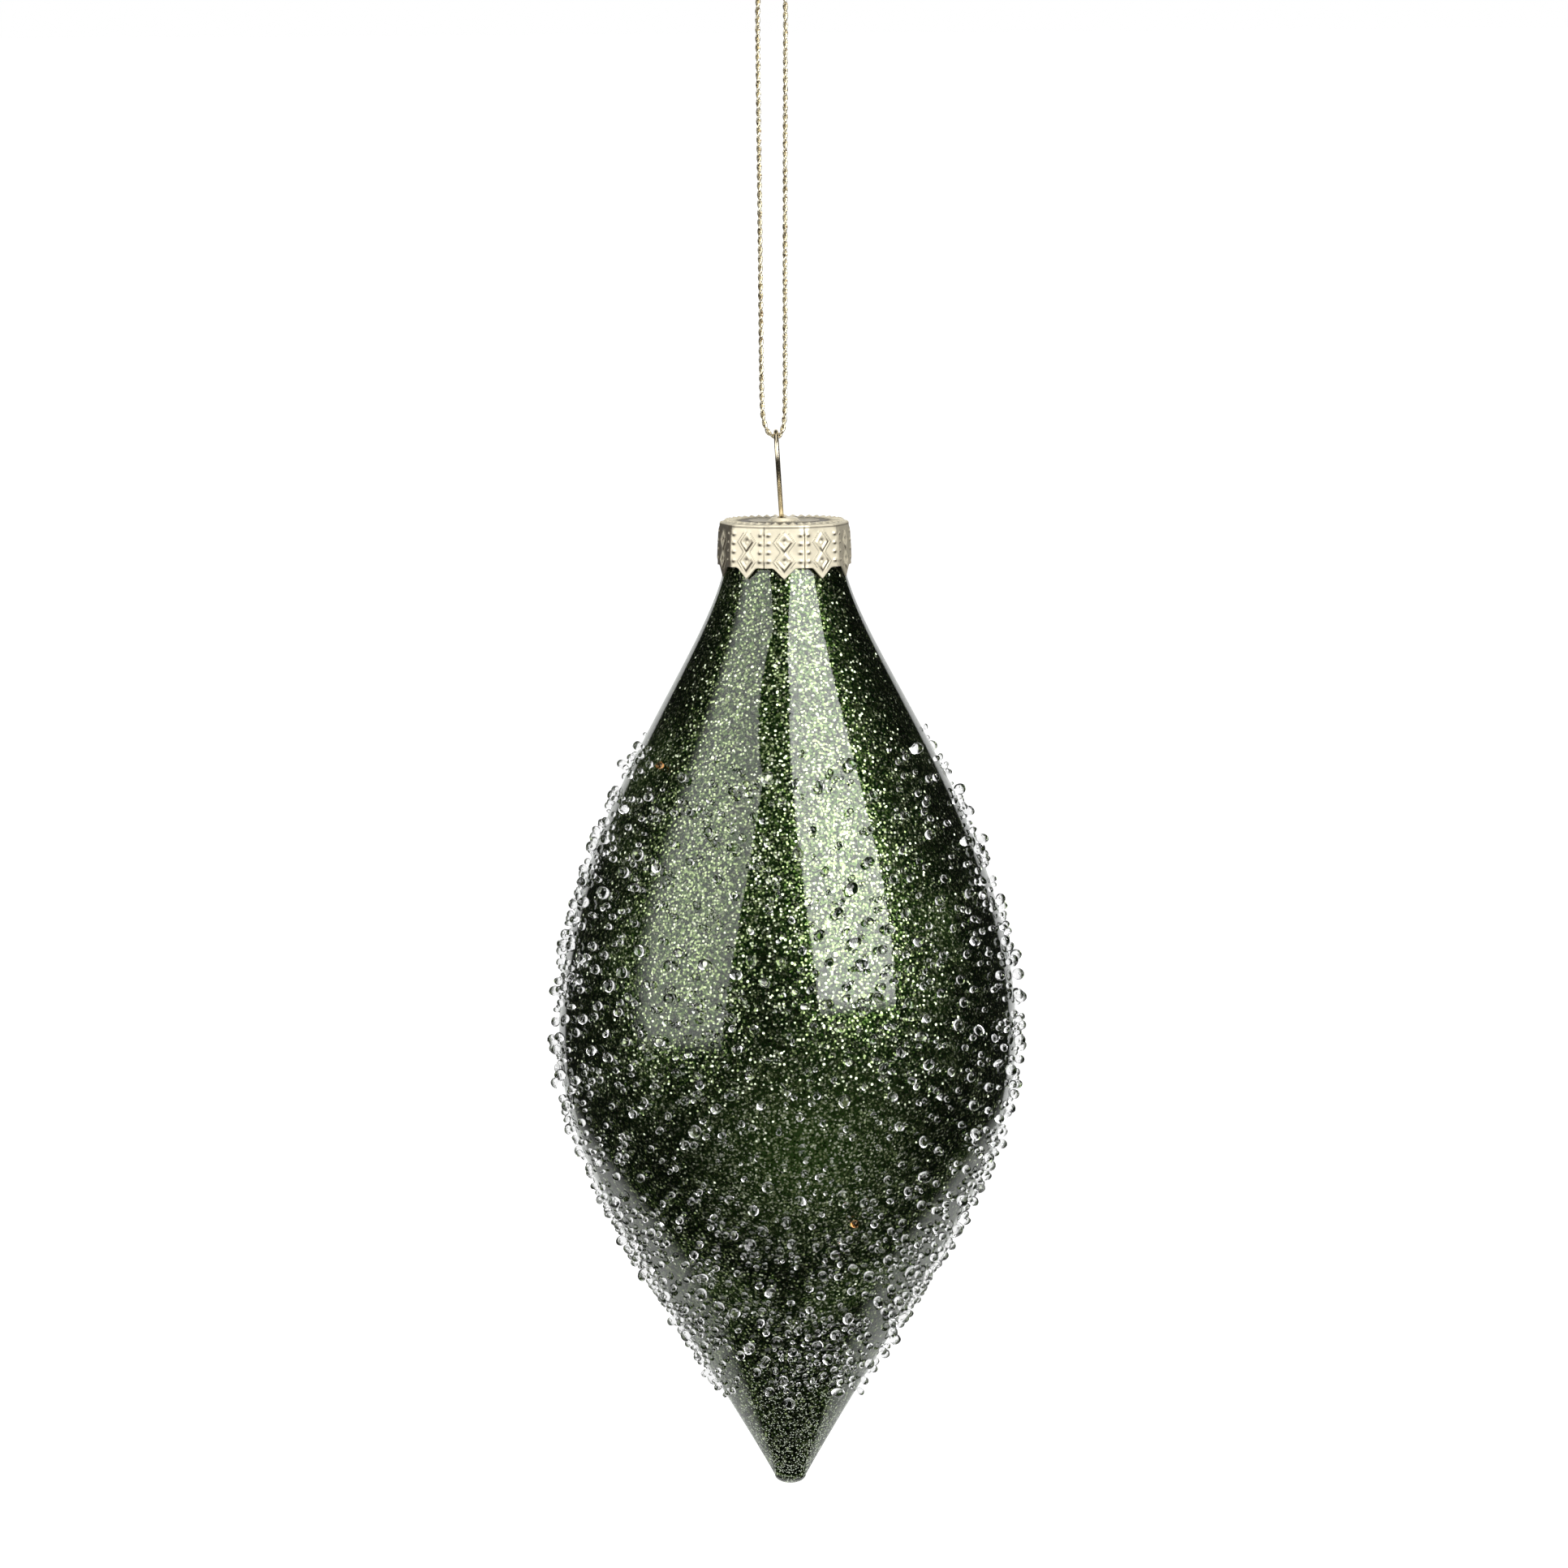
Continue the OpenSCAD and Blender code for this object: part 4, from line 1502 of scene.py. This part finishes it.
@dataclass
class HangingCord:
    """The loop of two-ply cord through the eye, and the knot that gathers it."""

    diameter: float = 0.7 * MM
    pitch: float = 2.4 * MM
    step: float = 0.13 * MM
    sides: int = 8
    knot_low: float = 64.75 * MM
    knot_turns: float = 3.0
    knot_rise: float = 0.62 * MM
    knot_wide: float = 1.1 * MM
    knot_deep: float = 0.74 * MM
    knot_steps: int = 180
    finish: MetallicThread = MetallicThread("pale_gold_thread")

    def route(self) -> np.ndarray:
        """Centreline of the whole cord.

        Returns:
            Its points, in metres.
        """
        flat = np.array(CORD_ROUTE) * MM
        points = np.stack([flat[:, 0], np.zeros(len(flat)), flat[:, 1]], axis=1)
        return smooth_line(points, self.step)

    def twisted(self, line: np.ndarray, name: str) -> bpy.types.Object:
        """Makes the two plies that wind round a line.

        Args:
            line: Centreline of the cord.
            name: Name of the mesh object.

        Returns:
            The mesh object.
        """
        across, over = frames_along(line)
        ply_r = self.diameter / 4
        sketch = MeshSketch()
        for start in (0.0, math.pi):
            angle = (start + 2 * math.pi * reach_along(line) / self.pitch)[:, None]
            ply = line + ply_r * (np.cos(angle) * across + np.sin(angle) * over)
            sketch.add(*tube(ply, ply_r, self.sides))
        return sketch.finish(name)

    def knot_line(self) -> np.ndarray:
        """Centreline of the wraps round both strands."""
        turn = np.linspace(0, 2 * math.pi * self.knot_turns, self.knot_steps)
        return np.stack([self.knot_wide * np.cos(turn), self.knot_deep * np.sin(turn),
                         self.knot_low + self.knot_rise * turn / (2 * math.pi)], axis=1)

    def build(self) -> list[bpy.types.Object]:
        """Returns:
            The cord and the knot.
        """
        material = self.finish.material()
        knot = dress(self.twisted(self.knot_line(), "cord_wraps"), Slot.CORD, material, "cord_knot")
        line = self.route()
        cord = dress(self.twisted(line, "twisted_cord"), Slot.CORD, material, "hanging_cord")
        return [cord, knot]


@dataclass
class SoftBox:
    """A large flat lamp that stands round the object and faces it."""

    name: str
    azimuth: float
    elevation: float
    width: float
    height: float
    radiance: float
    distance: float = 1.2
    fades: tuple[float, float, float, float] = (0.04, 0.01, 0.1, 0.01)

    def fade(self, lamp: bpy.types.Light) -> None:
        """Lets the lamp fade towards its left, right, lower and upper borders.

        Args:
            lamp: The lamp.
        """
        sketch = NodeSketch(lamp)
        across = sketch.add("SeparateXYZ", {0: sketch.add("NewGeometry").outputs["Parametric"]})
        level = 1.0
        for i, width in enumerate(self.fades):
            place = across.outputs[i // 2]
            if i % 2:
                place = sketch.sum("SUBTRACT", 1.0, place)
            level = sketch.sum("MULTIPLY", level, sketch.fade(place, (0.0, width)))
        glow = sketch.add("Emission", {"Strength": level})
        sketch.close("Light", glow.outputs[0])

    def build(self, target: Vector) -> None:
        """Places the lamp.

        Args:
            target: Point that it faces.
        """
        a, e = math.radians(self.azimuth), math.radians(self.elevation)
        back = Vector((math.sin(a) * math.cos(e), -math.cos(a) * math.cos(e), math.sin(e)))
        lamp = bpy.data.lights.new(self.name, "AREA")
        lamp.shape = "RECTANGLE"
        lamp.size, lamp.size_y = self.width, self.height
        lamp.energy = self.radiance * math.pi * self.width * self.height
        self.fade(lamp)
        stand = bpy.data.objects.new(self.name, lamp)
        stand.location = target + back * self.distance
        stand.rotation_mode = "QUATERNION"
        stand.rotation_quaternion = (-back).to_track_quat("-Z", "Y")
        stand.visible_camera = False
        bpy.context.scene.collection.objects.link(stand)


@dataclass
class Studio:
    """Camera, lamps, world and floor."""

    centre: Vector = field(default_factory=lambda: Vector((0.74, 0.0, -46.0)) * MM)
    frame_width: float = 205.5 * MM
    distance: float = 2.2
    clip: Pair = (0.05, 60.0)
    elevation: float = math.radians(5.1)
    roll: float = math.radians(-0.385)
    sensor: float = 36.0
    floor_gap: float = 0.12
    floor_size: float = 14.0
    shade_reach: float = 0.5
    ambient: float = 0.2
    dark: float = 0.015
    table_rise: float = -1.25
    table_edge: Pair = (1.07, 1.2)
    table_depth: Pair = (-0.15, -0.5)
    table_levels: Pair = (0.3, 1.05)
    sheet_edge: Pair = (0.86, 0.9)
    floor_grey: float = 0.8
    floor_glow: Pair = (0.72, 1.0)

    def camera(self) -> None:
        """Sets the camera at the photograph's viewing angle."""
        back = Vector((0, -math.cos(self.elevation), math.sin(self.elevation)))
        level = Vector((1, 0, 0))
        up = back.cross(level)
        right = level * math.cos(self.roll) + up * math.sin(self.roll)
        up = back.cross(right)
        data = bpy.data.cameras.new("camera")
        data.sensor_width = self.sensor
        data.lens = self.distance * self.sensor / self.frame_width
        data.clip_start, data.clip_end = self.clip
        camera = bpy.data.objects.new("camera", data)
        camera.rotation_mode = "QUATERNION"
        camera.rotation_quaternion = Matrix((right, up, back)).transposed().to_quaternion()
        camera.location = self.centre + back * self.distance
        bpy.context.scene.collection.objects.link(camera)
        bpy.context.scene.camera = camera

    def lamps(self) -> None:
        """Sets two tall soft boxes in front and one overhead."""
        boxes = (
            SoftBox("left_soft_box", azimuth=-59, elevation=23, width=1.34, height=1.4,
                    radiance=2.15, fades=(0.3, 0.01, 0.1, 0.01)),
            SoftBox("right_soft_box", azimuth=36, elevation=29, width=0.98, height=1.2,
                    radiance=5.5),
            SoftBox("top_soft_box", azimuth=0, elevation=90, width=0.9, height=0.9, radiance=1.0),
        )
        for box in boxes:
            box.build(self.centre)

    def world(self) -> None:
        """Makes a white background that glass and metal show too, over a dark front."""
        world = bpy.data.worlds.new("studio")
        bpy.context.scene.world = world
        sketch = NodeSketch(world)
        way = sketch.add("SeparateXYZ", {0: sketch.add("TexCoord").outputs["Generated"]}).outputs
        border = sketch.sum("MULTIPLY_ADD", way[2], self.table_rise, way[1])
        steep = sketch.fade(way[2], self.table_depth, self.table_levels, soft=False)
        table = sketch.sum("MULTIPLY", sketch.fade(border, self.table_edge), steep)
        sheet = sketch.fade(way[1], self.sheet_edge)
        bright = sketch.sum("MAXIMUM", sketch.sum("MAXIMUM", table, sheet), self.dark)
        rays = sketch.add("LightPath").outputs
        straight = sketch.sum("LESS_THAN", rays["Glossy Depth"], 0.5)
        clear = sketch.sum("MULTIPLY", rays["Is Transmission Ray"], straight)
        shine = sketch.sum("MAXIMUM", rays["Is Glossy Ray"], rays["Is Transmission Ray"])
        seen = sketch.add("Mix", {0: clear, 2: bright, 3: 1.0}).outputs[0]
        level = sketch.add("Mix", {0: shine, 2: self.ambient, 3: seen}).outputs[0]
        level = sketch.add("Mix", {0: rays["Is Camera Ray"], 2: level, 3: 1.0}).outputs[0]
        light = sketch.add("Background", {"Color": (1, 1, 1, 1), "Strength": level})
        sketch.close("World", light.outputs[0])

    def floor(self, tip_z: float) -> None:
        """Lays a pale floor, which keeps the object's shadow and is white far off.

        Args:
            tip_z: Height of the drop's tip.
        """
        half, level = self.floor_size / 2, tip_z - self.floor_gap
        corners = [(x * half, y * half, level) for x, y in ((-1, -1), (1, -1), (1, 1), (-1, 1))]
        floor = MeshSketch().add(np.array(corners), [np.arange(4)[None]]).finish("floor")
        material = bpy.data.materials.new("pale_floor")
        nodes = NodeSketch(material)
        plain = nodes.add("BsdfDiffuse", {"Color": (*[self.floor_grey] * 3, 1)})
        away = nodes.add("VectorMath", {0: nodes.place()}, operation="LENGTH").outputs["Value"]
        level = nodes.fade(away, (self.shade_reach, 2 * self.shade_reach), self.floor_glow,
                           soft=False)
        glow = nodes.add("Emission", {"Color": (1, 1, 1, 1), "Strength": nodes.sum(
            "MULTIPLY", nodes.add("LightPath").outputs["Is Camera Ray"], level)})
        both = nodes.add("AddShader", {0: plain.outputs[0], 1: glow.outputs[0]})
        nodes.close("Material", both.outputs[0])
        floor.data.materials.append(material)
        floor.visible_glossy = False
        floor.visible_transmission = False


def main() -> None:
    """Builds the studio and every sub-assembly, and reports each piece."""
    logging.basicConfig(level=logging.INFO, format="%(name)s: %(message)s")
    bpy.context.scene.view_settings.view_transform = "Standard"
    outline = DropOutline()
    studio = Studio()
    studio.camera()
    studio.lamps()
    studio.world()
    studio.floor(outline.tip_z)
    pieces = [
        *HangingCord().build(),
        WireEye().build(),
        CrownCap(outline).build(),
        GlitterCoat(outline).build(),
        GlassDrop(outline).build(),
        *GluedBeads(outline).build(),
    ]
    for piece in pieces:
        LOG.info("%s: %d faces", piece.name, len(piece.data.polygons))


if __name__ == "__main__":
    main()
